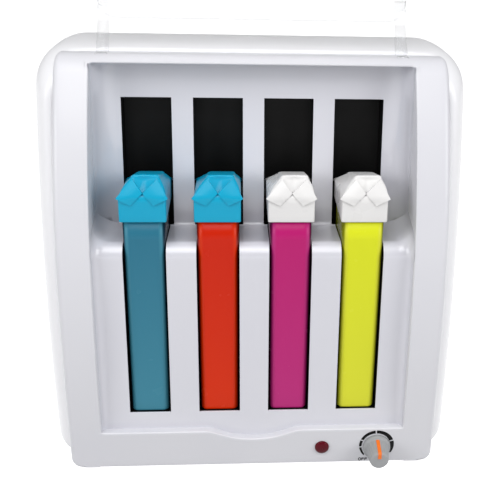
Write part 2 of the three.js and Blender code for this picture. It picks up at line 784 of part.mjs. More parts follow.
// A cap: a straight band, a tapering crown, and two folded flaps that meet in a V on its front and back.
// The crown leans to one side and falls to the back, as the roller under it does not need the height there
function cartridgeCap() {
  const low = cartridgeHeight + capStart;
  const crease = low + capBandHeight;
  const high = low + capHeight;
  const [half, deep] = [capWidth / 2, capDepth / 2];
  const [crownHalf, crownDeep] = [capCrownWidth / 2, capCrownDepth / 2];
  const ring = (x, y, corner, height) => roundedRectangle(-x, -y, x, y, corner, corner, 2)
    .map(([a, b]) => new THREE.Vector3(a, b, height));
  const shoulder = (crease + high) / 2;
  const shell = loft([
    ring(half, deep, wall / 2, low),
    ring(half, deep, wall / 2, crease),
    ring((half + crownHalf) / 2 + gap, (deep + crownDeep) / 2 + gap, wall, shoulder),
    ring(crownHalf, crownDeep, wall, high - flapThickness),
    ring(crownHalf - wall, crownDeep - wall, wall / 2, high),
  ]);
  const room = loft([
    ring(half - capWall, deep - capWall, wall / 2, low - gap),
    ring(half - capWall, deep - capWall, wall / 2, crease - gap),
    ring(crownHalf - capRoof / 2, crownDeep - capRoof, wall / 2, high - capRoof),
  ]);
  let body = shell.subtract(room);
  [-1, 1].forEach((face) => {
    [-1, 1].forEach((side) => {
      const at = (x, y, z) => new THREE.Vector3(side * x, face * y, z);
      const sheet = [
        at(-gap, (deep + crownDeep) / 2, shoulder - flapThickness),
        at(crownHalf, crownDeep, high - flapThickness),
        at(half + flapReach, deep, crease - flapThickness),
        at(half / 2, deep + flapThickness / 2, crease - flapDrop),
      ];
      const inner = sheet.map((p) => p.clone().add(at(0, -2 * flapThickness, -flapThickness)));
      const outer = sheet.map((p) => p.clone().add(at(0, flapThickness / 2, flapThickness / 2)));
      body = body.add(loft(side * face > 0 ? [inner, outer] : [outer, inner]));
    });
  });
  return body.subtract(room).warp((corner) => {
    const share = Math.max(0, (corner[2] - crease) / (high - crease));
    corner[0] += crownShift * share;
    corner[2] -= crownFall * (corner[1] + deep) * share;
  });
}

// The knob's axis points out of the strip; it is built pointing up and then turned
function knob() {
  const around = knobFlutes * flutePoints;
  const rings = [0, knobSkirtHeight, knobSkirtHeight, knobLength - axleRadius, knobLength];
  const radii = [
    knobSkirtRadius, knobSkirtRadius - gap, knobSkirtRadius - knobFluteDepth * 3,
    knobTipRadius, knobTipRadius - knobFluteDepth * 2,
  ];
  const built = rings.map((height, r) => Array.from({ length: around }, (_, i) => {
    const angle = (full * i) / around;
    const flute = r > 1 && i % flutePoints === flutePoints / 2 ? knobFluteDepth : 0;
    const radius = radii[r] - flute;
    const step = r === 2 ? gap / 2 : 0;
    return new THREE.Vector3(radius * Math.cos(angle), radius * Math.sin(angle), height + step);
  }));
  const body = loft(built);
  const bore = rod(knobBoreRadius, -gap, knobLength - 2 * wall);
  const skirtRoom = rod(nutRadius + gap, -gap, nutHeight + 2 * gap, fineSteps);
  const groove = pointerShape(gap);
  return body.subtract(bore).subtract(skirtRoom).subtract(groove);
}

// The pointer lies in a groove along the knob's side and a little way over its tip
function pointerShape(grow) {
  const half = pointerWidth / 2 + grow;
  const low = knobSkirtHeight + gap * 3 - grow;
  const line = [
    [knobSkirtRadius - knobFluteDepth * 3, low], [knobTipRadius, knobLength - axleRadius],
    [knobTipRadius - knobFluteDepth * 2, knobLength + (grow > 0 ? gap : 0)],
  ];
  const inner = [
    [0, knobLength + (grow > 0 ? gap : 0)], [0, knobLength - pointerHeight - grow],
    [knobTipRadius - 2 * pointerHeight - grow, knobLength - axleRadius - grow],
    [knobSkirtRadius - knobFluteDepth * 3 - pointerHeight - grow, low],
  ];
  const push = grow > 0 ? overrun : 0;
  const shape = [...line.map(([y, z]) => [y + push, z]), ...inner];
  return across(shape, -half, half);
}

const white = new THREE.MeshStandardMaterial({ color: "#ececf1", roughness: 0.25 });
const black = new THREE.MeshStandardMaterial({ color: "#0a0a0a", roughness: 0.6 });
const clear = new THREE.MeshStandardMaterial({
  color: "#f4f6f8", roughness: 0.05, transparent: true, opacity: 0.25,
});
const grey = new THREE.MeshStandardMaterial({ color: "#9b9ea0", roughness: 0.5 });
const orange = new THREE.MeshStandardMaterial({ color: "#f07818", roughness: 0.5 });
const steel = new THREE.MeshStandardMaterial({ color: "#b8babd", roughness: 0.3, metalness: 1 });
const lensRed = new THREE.MeshStandardMaterial({ color: "#5a0020", roughness: 0.15 });
const rubber = new THREE.MeshStandardMaterial({ color: "#2a2a2c", roughness: 0.9 });
const board = new THREE.MeshStandardMaterial({ color: "#2f6b3a", roughness: 0.7 });
const natural = new THREE.MeshStandardMaterial({ color: "#e6e6e6", roughness: 0.4 });
const waxColours = ["#3e7d94", "#cc3300", "#be2d7d", "#d5db32"];
const capColours = ["#1ea5c8", "#1ea5c8", "#e4e4e4", "#e4e4e4"];

const heater = new THREE.Group();
const machine = new THREE.Group();
machine.position.z = footHeight;
heater.add(machine);

part("front_frame", frontFrame(), white, machine);
part("bay_insert", bayInsert(), white, machine);
part("rear_shell", rearShell(), white, machine);
part("base_plate", basePlate(), white, machine);

for (let i = 0; i < bayCount; i++) {
  const number = i + 1;
  part("heat_well_" + number, heatWell(bayCentre(i)), black, machine);
  part("heater_plate_" + number, heaterPlate(bayCentre(i)), steel, machine);
}

footPlaces().forEach(([place, x, y]) => {
  const pad = turned([
    [0, -footHeight], [footRadius, -footHeight], [footRadius, 0],
    [footNubRadius, 0], [footNubRadius, wall], [0, wall],
  ], fineSteps);
  part("foot_" + place, pad.translate([x, y, 0]), rubber, machine);
});

bossPlaces().forEach(([x, y], i) => {
  const head = rod(screwHeadRadius, gap / 2, screwHeadHeight);
  const screw = head.add(rod(screwRadius, screwHeadHeight / 2, screwLength, smallSteps));
  part("base_screw_" + (i + 1), screw.translate([x, y, 0]), steel, machine);
});

// The board rests on four posts and carries its transformer
const boardLow = boardRise + gap;
const boardTop = boardLow + boardThickness;
const boardBody = block(
  -boardWidth / 2, boardWidth / 2, boardStart, boardStart + boardDepth, boardLow, boardTop,
);
const transformer = block(
  -transformerWidth / 2, transformerWidth / 2, boardStart + wall, boardStart + transformerWidth,
  boardTop - gap, boardTop + transformerHeight,
);
part("control_board", boardBody.add(transformer), board, machine);

// The inlet's face is flush with the back, and its flange clips inside the shell
const inletFace = shellDepth - gap;
const inletHalf = [inletWidth / 2, inletHeight / 2];
const inletSocket = backwards(
  roundedRectangle(-inletHalf[0], -inletHalf[1], inletHalf[0], inletHalf[1], wall, wall),
  inletFace - inletDepth, inletFace,
);
const inletRoom = backwards(
  roundedRectangle(
    wall - inletHalf[0], wall - inletHalf[1], inletHalf[0] - wall, inletHalf[1] - wall, wall, wall,
  ), inletFace - inletDepth + wall, inletFace + gap,
);
const inletRim = block(
  -inletHalf[0] - inletFlange, inletHalf[0] + inletFlange,
  shellDepth - 2 * wall - gap, shellDepth - wall - gap,
  -inletHalf[1] - inletFlange, inletHalf[1] + inletFlange,
);
let inlet = inletSocket.add(inletRim).subtract(inletRoom);
[-1, 1].forEach((side) => {
  const pin = rod(inletPinRadius, 0, inletDepth - wall, smallSteps).rotate([-quarterDegrees, 0, 0]);
  inlet = inlet.add(pin.translate([side * inletPinSpread, inletFace - inletDepth + wall / 2, 0]));
});
part("power_inlet", inlet.translate([-inletSide, 0, inletLevel]), black, machine);

[-1, 1].forEach((side) => {
  const pin = rod(pinRadius, -pinLength / 2, pinLength / 2, smallSteps).rotate([0, quarterDegrees, 0]);
  const place = [side * lugSide, hingeDepth, hingeHeight];
  part(side < 0 ? "hinge_pin_left" : "hinge_pin_right", pin.translate(place), steel, machine);
});

// The controls stand square to the leaning strip: their up is the strip's outward normal
function controlGroup(side) {
  const group = new THREE.Group();
  group.position.set(side, pillarFront(controlHeight), controlHeight);
  group.rotation.x = quarter + lowerLean;
  machine.add(group);
  return group;
}

const dial = controlGroup(dialSide);
const innerFace = -wall - gap;
const nutBore = rod(shaftRadius + gap, 0, overrun, fineSteps);
part("potentiometer", rod(potRadius, innerFace - potLength, innerFace, fineSteps), black, dial);
part("potentiometer_nut", rod(nutRadius, gap, nutHeight, hexagon).subtract(nutBore), steel, dial);
part("dial_shaft", rod(shaftRadius, innerFace + gap, knobLength - 2 * wall - gap, fineSteps), steel, dial);
const knobSeat = new THREE.Group();
knobSeat.position.z = gap;
dial.add(knobSeat);
part("dial_knob", knob(), grey, knobSeat);
part("dial_pointer", pointerShape(0), orange, knobSeat);

const pilot = controlGroup(lensSide);
const domeRadius = (lensRadius ** 2 + lensDome ** 2) / (2 * lensDome);
const domeReach = Math.asin(lensRadius / domeRadius);
const domeTop = 2 * gap + lensDome;
const domeLine = arc([0, domeTop - domeRadius], domeRadius, quarter - domeReach, quarter, hexagon);
const lensLine = [
  [0, -lensStemLength], [lensStemRadius, -lensStemLength], [lensStemRadius, gap], [lensRadius, gap],
  ...domeLine.slice(0, -1), [0, domeTop],
];
part("pilot_lens", turned(lensLine, fineSteps), lensRed, pilot);
const lampTop = -lensStemLength - gap;
part("pilot_lamp", rod(lampRadius, lampTop - lampLength, lampTop), natural, pilot);

// The lid is built closed and turned open about its pins
const lidPivot = new THREE.Group();
lidPivot.position.set(0, hingeDepth, hingeHeight);
lidPivot.rotation.x = -lidOpening;
machine.add(lidPivot);
part("lid", lid().translate([0, -hingeDepth, -hingeHeight]), clear, lidPivot);

for (let i = 0; i < bayCount; i++) {
  const number = i + 1;
  const bay = new THREE.Group();
  const seat = slotFloor + seatLift;
  const middle = faceDepth(seat) + cartridgeSetback + cartridgeDepth / 2;
  bay.position.set(bayCentre(i), middle, seat + faceLean * (cartridgeDepth / 2));
  bay.rotation.x = leanAngle;
  machine.add(bay);
  const plastic = new THREE.MeshStandardMaterial({ color: waxColours[i], roughness: 0.2 });
  const capPlastic = new THREE.MeshStandardMaterial({ color: capColours[i], roughness: 0.4 });
  part("cartridge_body_" + number, cartridgeBody(), plastic, bay);
  part("wax_fill_" + number, waxFill(), plastic, bay);
  part("roller_head_" + number, rollerHead(), natural, bay);
  part("cartridge_cap_" + number, cartridgeCap(), capPlastic, bay);
  const turning = new THREE.Group();
  turning.position.z = rollerHeight();
  bay.add(turning);
  part("roller_" + number, roller(), natural, turning);
}

// The origin lies under the middle of the whole object
const extent = new THREE.Box3().setFromObject(heater, true);
machine.position.y -= (extent.min.y + extent.max.y) / 2;

export default heater;
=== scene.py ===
# %% [markdown]
# A roll-on wax heater for a table top. Its housing is two white mouldings, a front frame and a rear shell.
# A bay insert sits in the frame and holds four cartridges of coloured wax, each with a roller under a cap.
# A clear lid stands open behind them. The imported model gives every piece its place, so it is loaded first.

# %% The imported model
import math
import bpy
import numpy as np
from mathutils import Matrix, Vector


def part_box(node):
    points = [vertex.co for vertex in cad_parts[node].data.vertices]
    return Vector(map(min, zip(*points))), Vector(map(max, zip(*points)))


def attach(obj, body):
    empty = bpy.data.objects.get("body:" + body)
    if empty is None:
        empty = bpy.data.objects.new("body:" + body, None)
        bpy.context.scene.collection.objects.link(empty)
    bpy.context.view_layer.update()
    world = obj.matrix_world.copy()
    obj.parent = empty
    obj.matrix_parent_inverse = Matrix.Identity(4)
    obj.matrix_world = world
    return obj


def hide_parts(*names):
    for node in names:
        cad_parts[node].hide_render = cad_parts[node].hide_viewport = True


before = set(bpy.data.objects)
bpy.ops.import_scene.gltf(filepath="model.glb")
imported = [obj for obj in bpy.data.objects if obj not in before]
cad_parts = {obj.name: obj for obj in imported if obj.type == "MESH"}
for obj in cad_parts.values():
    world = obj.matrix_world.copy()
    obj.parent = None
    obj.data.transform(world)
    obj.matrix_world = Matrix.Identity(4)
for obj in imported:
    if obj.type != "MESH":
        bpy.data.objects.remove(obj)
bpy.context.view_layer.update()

# %% [markdown]
# The scene is worked out in millimetres, as the mouldings were designed: side is to the right, depth is
# measured back from the foremost line of the pillars, and height from the housing's underside. The front
# frame's own box says where that foremost line is, and the rear shell's box where the underside is.

# %% Units and places
MM = 0.001
ORIGIN = np.array([0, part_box("front_frame")[0].y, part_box("rear_shell")[0].z])
QUARTER = math.pi / 2


def placed(points):
    """Millimetre points (side, depth, height) as metres in the model's frame."""
    return np.asarray(points, float) * MM + ORIGIN


def far_corner(node):
    """A node's right, rear and top limits in millimetres."""
    return (np.array(list(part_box(node)[1])) - ORIGIN) / MM


print("front frame reaches, mm:", np.round(far_corner("front_frame"), 1).tolist())

# %% [markdown]
# Every new piece is a set of sheets. A sheet is a grid of points worked out as one numpy array, and its
# faces join each point to its neighbours. The last helper puts all the sheets of a piece into one mesh.

# %% From sheets to a piece
def grid_faces(rows, columns, closed=False):
    """Corner numbers of the four-sided faces between the rows and columns of a grid."""
    row = np.arange(rows - 1)[:, None] * columns
    column = np.arange(columns if closed else columns - 1)[None, :]
    after = (column + 1) % columns
    return np.stack([row + column, row + after, row + after + columns, row + column + columns], -1)


def sheet(points, closed=False, keep=None, flipped=False):
    """A grid of millimetre points with its faces; keep leaves faces out, flipped turns them round."""
    points = np.asarray(points, float)
    faces = grid_faces(points.shape[0], points.shape[1], closed)
    faces = faces[keep] if keep is not None else faces.reshape(-1, 4)
    return points.reshape(-1, 3), faces[:, ::-1] if flipped else faces


def piece(name, sheets, material, body, stands_for):
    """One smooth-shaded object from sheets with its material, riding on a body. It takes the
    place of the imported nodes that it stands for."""
    starts = np.cumsum([0] + [len(points) for points, _ in sheets[:-1]])
    points = placed(np.concatenate([points for points, _ in sheets]))
    faces = np.concatenate([faces + start for (_, faces), start in zip(sheets, starts)])
    mesh = bpy.data.meshes.new(name)
    mesh.from_pydata(points.tolist(), [], faces.tolist())
    mesh.polygons.foreach_set("use_smooth", np.ones(len(faces), bool))
    mesh.materials.append(material)
    mesh.update()
    thing = bpy.data.objects.new(name, mesh)
    bpy.context.scene.collection.objects.link(thing)
    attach(thing, body)
    if stands_for:
        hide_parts(*stands_for)
    print(name, "faces:", len(faces))


# %% [markdown]
# A few more helpers measure and join lines. The most used one rounds an edge, because no moulding has a
# sharp edge: a small radius catches the light along every rim, and that thin bright line is what makes
# plastic look moulded.

# %% Lines and rounded edges
NEARLY_FLAT = 1e-4
EDGE_SHARES = np.linspace(0, 1, 7)


def unit(vectors):
    """Each vector divided by its length."""
    vectors = np.asarray(vectors, float)
    return vectors / np.linalg.norm(vectors, axis=-1, keepdims=True)


def points_of(*parts):
    """Points whose coordinates are these arrays and numbers."""
    return np.stack(np.broadcast_arrays(*parts), -1)


def leftward(line):
    """The direction a quarter turn to the left of a flat line, at each of its points."""
    way = unit(np.gradient(line, axis=0))
    return points_of(-way[:, 1], way[:, 0])


def length_along(line):
    """The length from a line's first point to each of its points."""
    return np.concatenate([[0], np.cumsum(np.linalg.norm(np.diff(line, axis=0), axis=1))])


def joined(*lines):
    """Lines end to end, without the point that each shares with the next."""
    return np.concatenate([*(line[:-1] for line in lines[:-1]), lines[-1]])


def eased(share):
    """A share from 0 to 1 with soft ends: s^2 (3 - 2 s)."""
    share = np.clip(share, 0, 1)
    return share ** 2 * (3 - 2 * share)


def rounded_edge(corner, face, side, radius):
    """An edge rounded between two surfaces: the circle that touches both, swept from the face's
    outward direction to the side's. Its centre lies radius * (face + side) / (1 + face . side) inside."""
    face, side = unit(face), unit(side)
    dot = np.sum(face * side, -1, keepdims=True)
    radius = np.broadcast_to(np.asarray(radius, float), dot.shape[:-1])[..., None]
    centre = corner - radius * (face + side) / (1 + dot)
    angle = np.arccos(np.clip(dot, -1, 1))
    flat = angle < NEARLY_FLAT
    wide = np.where(flat, 1, np.sin(angle))
    rows = []
    for share in EDGE_SHARES:
        near = np.where(flat, 1 - share, np.sin((1 - share) * angle) / wide)
        far = np.where(flat, share, np.sin(share * angle) / wide)
        rows.append(centre + radius * (near * face + far * side))
    return rows


print("rows in a rounded edge:", len(EDGE_SHARES))

# %% [markdown]
# A finish is a small tree of nodes that ends in the Principled shader. Its colours were judged against
# the photograph and are written as sRGB hex. Blender's shaders work in linear light, so one function converts
# them, and one function adds any node: its own settings, then its sockets, which are set or linked.

# %% Colours and nodes
def colour(code):
    """An sRGB hex code as linear red, green, blue and alpha."""
    parts = [int(code[i:i + 2], 16) / 255 for i in (1, 3, 5)]
    return (*[c / 12.92 if c <= 0.04045 else ((c + 0.055) / 1.055) ** 2.4 for c in parts], 1)


def add_node(tree, kind, sockets, **settings):
    """Adds a node with its settings. A socket's value that is another node's output is linked, and any
    other value is set. Gives back the node's outputs."""
    node = tree.nodes.new(kind)
    for setting, value in settings.items():
        setattr(node, setting, value)
    for socket, value in sockets.items():
        if isinstance(value, bpy.types.NodeSocket):
            tree.links.new(value, node.inputs[socket])
        else:
            node.inputs[socket].default_value = value
    return node.outputs


def new_material(name):
    """An empty material, its node tree and the Object coordinates that every pattern here reads."""
    material = bpy.data.materials.new(name)
    material.use_nodes = True
    material.node_tree.nodes.clear()
    return material, material.node_tree, add_node(material.node_tree, "ShaderNodeTexCoord", {})["Object"]


print("mid grey in linear light:", round(colour("#808080")[0], 3))

# %% [markdown]
# Moulded plastic is never quite even: it has a fine spark-eroded grain, slow flow marks from the mould and
# a gloss that varies a little. The same recipe, with other numbers, makes every moulding here. The real grain
# is finer than a pixel, so it is drawn coarser, at a third to almost a whole millimetre, and very shallow.

# %% The recipe for moulded plastic
FLOW_MARK, GLOSS_PATCH = 71.43, 16.67
FLOW_START, FLOW_END = 0.3, 0.7
GRAIN_STRENGTH, COAT_ROUGHNESS = 0.35, 0.12


def moulded(name, light, dark, roughness, grain_size=0.5, grain_depth=0.015, unevenness=0.15,
            specular=0.5, coat=0.0, glow=0.0):
    """Moulded plastic: dark to light by slow noise, roughness (1 - unevenness) to roughness (1 + unevenness)
    by quicker noise, and a bump of fine noise. Grain sizes and depths are in millimetres."""
    material, tree, where = new_material(name)
    flow, patch, grain = (
        add_node(tree, "ShaderNodeTexNoise", {"Vector": where, "Detail": detail, "Scale": scale / MM})["Fac"]
        for scale, detail in ((1 / FLOW_MARK, 3), (1 / GLOSS_PATCH, 2), (1 / grain_size, 1)))
    share = add_node(tree, "ShaderNodeMapRange", {"Value": flow, "From Min": FLOW_START,
                                                  "From Max": FLOW_END})
    tint = add_node(tree, "ShaderNodeMix", {"Factor": share["Result"], "A": colour(dark), "B": colour(light)},
                    data_type="RGBA")
    gloss = add_node(tree, "ShaderNodeMapRange", {"Value": patch, "To Min": roughness * (1 - unevenness),
                                                  "To Max": roughness * (1 + unevenness)})
    bump = add_node(tree, "ShaderNodeBump", {"Height": grain, "Distance": grain_depth * MM,
                                             "Strength": GRAIN_STRENGTH})
    shader = add_node(tree, "ShaderNodeBsdfPrincipled", {
        "Base Color": tint["Result"], "Roughness": gloss["Result"], "Normal": bump["Normal"],
        "Specular IOR Level": specular, "Coat Weight": coat, "Coat Roughness": COAT_ROUGHNESS,
        "Emission Strength": glow})
    add_node(tree, "ShaderNodeOutputMaterial", {"Surface": shader["BSDF"]})
    return material


print("flow marks and gloss patches, mm:", FLOW_MARK, GLOSS_PATCH)

# %% [markdown]
# The heater's mouldings differ in colour, gloss and grain. Each finish below starts from what the piece is
# really made of, with a comment on what that gives the eye, and was then matched to the photograph.

# %% Moulded plastics
# Polished ABS of the housing: nearly white, with soft broad reflections and hardly any grain.
white_plastic = moulded("white_moulding", "#d2d2d7", "#cfcfd5", 0.3, grain_depth=0.003, specular=0.4,
                        unevenness=0.03)
# The insert's mould is polished further, so its hollow corners mirror their surroundings.
insert_plastic = moulded("white_insert_moulding", "#cdcdd4", "#cacad2", 0.2, grain_depth=0.003, coat=0.4,
                         unevenness=0.03)
# The shell gets a purer white than the frame, as painted light: its sides look lit to near white and
# fade into the pale background.
shell_plastic_painted_light = moulded("white_shell_painted_light", "#eaeaed", "#e9e9ec", 0.28, grain_depth=0.002, unevenness=0.02)
# Heat-proof nylon of the wells: black and dull, so the windows read as holes.
black_plastic = moulded("black_moulding", "#060606", "#030303", 0.55, specular=0.2)
# The knob is grained to be gripped, and its pointer is a second shot of smoother, saturated plastic.
grey_plastic = moulded("grey_knob", "#999a9c", "#8f9193", 0.5, grain_size=0.3)
pointer_plastic = moulded("orange_pointer", "#e8700e", "#e0670a", 0.45)
# Undyed polypropylene of the rollers, and polypropylene caps: waxy, with a low and wide sheen.
natural_plastic = moulded("natural_roller_plastic", "#ececea", "#e2e2e0", 0.35)
blue_cap_plastic = moulded("blue_cap_moulding", "#04a0c4", "#0099be", 0.3, specular=0.25)
white_cap_plastic = moulded("white_cap_moulding", "#dfdedd", "#dad9d9", 0.28, specular=0.35)
# Out of sight: rubber is rough and almost without shine, and the board is green glass-fibre resin.
rubber = moulded("foot_rubber", "#2b2b2d", "#232325", 0.85, grain_size=0.8, specular=0.3)
board_resin = moulded("board_resin", "#2f6b3a", "#285f33", 0.6)
# The unlit lens is deep red with a dark body, and printed ink is a dull black.
lens_plastic = moulded("red_lens_plastic", "#5e0216", "#44000e", 0.2, grain_depth=0.002, specular=0.12)
ink = moulded("black_ink", "#0c0c0d", "#080809", 0.5, grain_depth=0.002, specular=0.1)
print("moulded finishes:", len(bpy.data.materials))

# %% [markdown]
# The metal pieces are hidden or small: plated screws, pins and a nut, and the foil plates of the heaters.
# Brushed or rolled metal has fine lines along one direction, which is noise squeezed along that direction.

# %% Metals
BRUSH_LINE = 1.111
BRUSH_LOW, BRUSH_HIGH = 0.7, 1.3


def brushed(name, light, dark, roughness, squeeze):
    """Metal with fine lines: noise squeezed by a different scale along each axis. The real lines are some
    hundredths of a millimetre wide, too fine to show, so they are drawn about a millimetre wide."""
    material, tree, where = new_material(name)
    squeezed = add_node(tree, "ShaderNodeMapping", {"Vector": where, "Scale": squeeze})["Vector"]
    lines = add_node(tree, "ShaderNodeTexNoise", {"Vector": squeezed, "Scale": 1 / (BRUSH_LINE * MM)})["Fac"]
    tint = add_node(tree, "ShaderNodeMix", {"Factor": lines, "A": colour(dark), "B": colour(light)},
                    data_type="RGBA")
    gloss = add_node(tree, "ShaderNodeMapRange", {"Value": lines, "To Min": roughness * BRUSH_LOW,
                                                  "To Max": roughness * BRUSH_HIGH})
    shader = add_node(tree, "ShaderNodeBsdfPrincipled", {"Base Color": tint["Result"],
                                                         "Roughness": gloss["Result"], "Metallic": 1})
    add_node(tree, "ShaderNodeOutputMaterial", {"Surface": shader["BSDF"]})
    return material


# Zinc-plated steel is a bright blue-grey, and rolled aluminium foil is paler and softer.
plated_steel = brushed("plated_steel", "#c4c6c9", "#a9abae", 0.3, (1, 1, 0.08))
heater_foil = brushed("heater_foil", "#cfd0d2", "#b2b4b7", 0.35, (0.05, 1, 1))
print("metals:", plated_steel.name, heater_foil.name)

# %% [markdown]
# The lid and the lamp are clear, so light passes through them. The lid is modelled with both of its faces,
# and the shader bends light at each, which is why only its edges show. In the photograph even they are faint,
# so the lid is also partly transparent.

# %% Clear plastics
CLEAR_PATCH = 40.0
CLEAR_LOW, CLEAR_HIGH = 0.6, 1.4


def see_through(name, tint, roughness, ior, alpha=1.0):
    """Clear plastic or glass with a slightly uneven gloss."""
    material, tree, where = new_material(name)
    patch = add_node(tree, "ShaderNodeTexNoise", {"Vector": where, "Scale": 1 / (CLEAR_PATCH * MM)})["Fac"]
    gloss = add_node(tree, "ShaderNodeMapRange", {"Value": patch, "To Min": roughness * CLEAR_LOW,
                                                  "To Max": roughness * CLEAR_HIGH})
    shader = add_node(tree, "ShaderNodeBsdfPrincipled", {
        "Base Color": colour(tint), "Roughness": gloss["Result"], "Transmission Weight": 1, "IOR": ior,
        "Alpha": alpha})
    add_node(tree, "ShaderNodeOutputMaterial", {"Surface": shader["BSDF"]})
    return material


# Polished acrylic, made to bend light less than the real 1.49, and the thin glass of a neon lamp.
clear_plastic = see_through("clear_lid_plastic", "#fcfdff", 0.02, 1.3, alpha=0.28)
lamp_glass = see_through("lamp_glass", "#fff4ea", 0.05, 1.45)
print("clear:", clear_plastic.name, lamp_glass.name)

# %% [markdown]
# A cartridge is clear plastic full of opaque wax. Looked at from the front, its rounded sides and floor are
# thicker plastic seen on edge and stand in the shade of the slot, so they look darker, with a paler line just
# inside. That dark band is painted shade: painting it into the material, by the distance from the cartridge's
# middle line, needs no clear wall in front of the wax, which would wash the colour out.

# %% Cartridge plastics
# The dark band of painted shade along the sides and the floor starts and ends at these shares of the half
# width and heights above the floor.
SIDE_SHADE_START, SIDE_SHADE_END = 0.84, 0.95
PALE_START, PALE_END = 0.66, 0.82
FOOT_SHADE_START, FOOT_SHADE_END = 1.2, 2.6
PALE_BELOW, FULL_ABOVE = 40.0, 150.0
WAX_PATCH, WAX_GLOSS_LOW, WAX_GLOSS_HIGH = 12.5, 0.26, 0.28
WAX_SPECULAR = 0.15


def wax_plastic(name, body, edge, low, middle, half, floor_height):
    """Colour by place on a cartridge: low to body with height, low again on a line inside each side, and
    edge, a painted shade, along the sides and the floor. Each share is eased between two distances, given in
    millimetres."""
    material, tree, where = new_material(name)
    parts = add_node(tree, "ShaderNodeSeparateXYZ", {"Vector": where})
    offset = add_node(tree, "ShaderNodeMath", {0: parts["X"], 1: middle * MM}, operation="SUBTRACT")
    distance = add_node(tree, "ShaderNodeMath", {0: offset["Value"]}, operation="ABSOLUTE")["Value"]
    height, line, side, foot = (
        add_node(tree, "ShaderNodeMapRange", {"Value": value, "From Min": start * MM, "From Max": end * MM,
                                              "To Min": before, "To Max": after},
                 interpolation_type=way)["Result"]
        for value, start, end, before, after, way in (
            (parts["Z"], PALE_BELOW, FULL_ABOVE, 0, 1, "LINEAR"),
            (distance, half * PALE_START, half * PALE_END, 0, 1, "SMOOTHSTEP"),
            (distance, half * SIDE_SHADE_START, half * SIDE_SHADE_END, 0, 1, "SMOOTHSTEP"),
            (parts["Z"], floor_height + FOOT_SHADE_START, floor_height + FOOT_SHADE_END, 1, 0, "SMOOTHSTEP")))
    # The sides and the floor take the edge colour: painted shade where they stand in the slot.
    rim = add_node(tree, "ShaderNodeMath", {0: side, 1: foot}, operation="MAXIMUM")["Value"]
    tint = colour(low)
    for share, other in ((height, body), (line, low), (rim, edge)):
        tint = add_node(tree, "ShaderNodeMix", {"Factor": share, "A": tint, "B": colour(other)},
                        data_type="RGBA")["Result"]
    patch = add_node(tree, "ShaderNodeTexNoise", {"Vector": where, "Scale": 1 / (WAX_PATCH * MM)})["Fac"]
    gloss = add_node(tree, "ShaderNodeMapRange", {"Value": patch, "To Min": WAX_GLOSS_LOW,
                                                  "To Max": WAX_GLOSS_HIGH})
    shader = add_node(tree, "ShaderNodeBsdfPrincipled", {"Base Color": tint, "Roughness": gloss["Result"],
                                                         "Specular IOR Level": WAX_SPECULAR})
    add_node(tree, "ShaderNodeOutputMaterial", {"Surface": shader["BSDF"]})
    return material


print("cartridge sides darken from", SIDE_SHADE_START, "of the half width")

# %% [markdown]
# The camera stands where the photographer's stood. Its place, turn and lens were found by fitting corners of
# the housing, and the object sits a little left of the middle of its lens, so the picture is shifted.

# %% The camera
CAMERA_PLACE = (-8.65, -528.3, 312.0)
CAMERA_PITCH, CAMERA_YAW, CAMERA_ROLL = 17.54, 5.07, 1.353
CAMERA_LENS, CAMERA_SENSOR, CAMERA_SHIFT = 69.9, 36.0, -0.143

camera_data = bpy.data.cameras.new("camera")
camera_data.lens, camera_data.sensor_width, camera_data.shift_x = CAMERA_LENS, CAMERA_SENSOR, CAMERA_SHIFT
camera = bpy.data.objects.new("camera", camera_data)
bpy.context.scene.collection.objects.link(camera)
pitch, yaw, roll = (math.radians(a) for a in (CAMERA_PITCH, CAMERA_YAW, CAMERA_ROLL))
forward = Vector((math.sin(yaw) * math.cos(pitch), math.cos(yaw) * math.cos(pitch), -math.sin(pitch)))
level = forward.cross(Vector((0, 0, 1))).normalized()
right = level * math.cos(roll) + level.cross(forward) * math.sin(roll)
turn = Matrix((right, right.cross(forward), -forward)).transposed().to_4x4()
camera.matrix_world = Matrix.Translation(placed(CAMERA_PLACE)) @ turn
bpy.context.scene.camera = camera
print("camera at", [round(v, 4) for v in camera.location])

# %% [markdown]
# The photograph was lit by a white tent: light from everywhere, a little stronger from above, on a white
# ground that fades out. A large glowing floor, a pale world and four broad lamps do the same. The floor's
# own light is kept off the object, because it would wash out the shade under the brow and the shelf.

# %% Floor and light
FLOOR_HALF, FLOOR_LINES, FLOOR_GLOW = 9.0, 3, 0.9
WORLD_STRENGTH = 0.4
# Each lamp's place in metres, the height on the object that it looks at, its size and its power in watts.
LAMPS = {
    "key_softbox": ((-0.1, -0.45, 1.26), 0.15, 0.6, 3.3),
    "front_softbox": ((-0.1, -0.95, 1.1), 0.13, 0.7, 5.5),
    "left_softbox": ((-1.1, -0.85, 0.55), 0.12, 0.8, 7.6),
    "right_softbox": ((1.1, -0.85, 0.55), 0.12, 0.8, 8.6)}

across = np.linspace(-FLOOR_HALF, FLOOR_HALF, FLOOR_LINES)
floor_points = np.stack([*np.meshgrid(across, across), np.zeros((FLOOR_LINES, FLOOR_LINES))], -1)
floor_mesh = bpy.data.meshes.new("floor")
floor_mesh.from_pydata(floor_points.reshape(-1, 3).tolist(), [],
                       grid_faces(FLOOR_LINES, FLOOR_LINES).reshape(-1, 4).tolist())
floor_mesh.materials.append(moulded("floor_paper", "#e9e9ea", "#e5e5e7", 0.9, specular=0.1, glow=FLOOR_GLOW))
floor = bpy.data.objects.new("floor", floor_mesh)
bpy.context.scene.collection.objects.link(floor)
floor.visible_diffuse = False

world = bpy.data.worlds.new("tent")
bpy.context.scene.world = world
world.use_nodes = True
world.node_tree.nodes["Background"].inputs["Color"].default_value = colour("#ffffff")
world.node_tree.nodes["Background"].inputs["Strength"].default_value = WORLD_STRENGTH

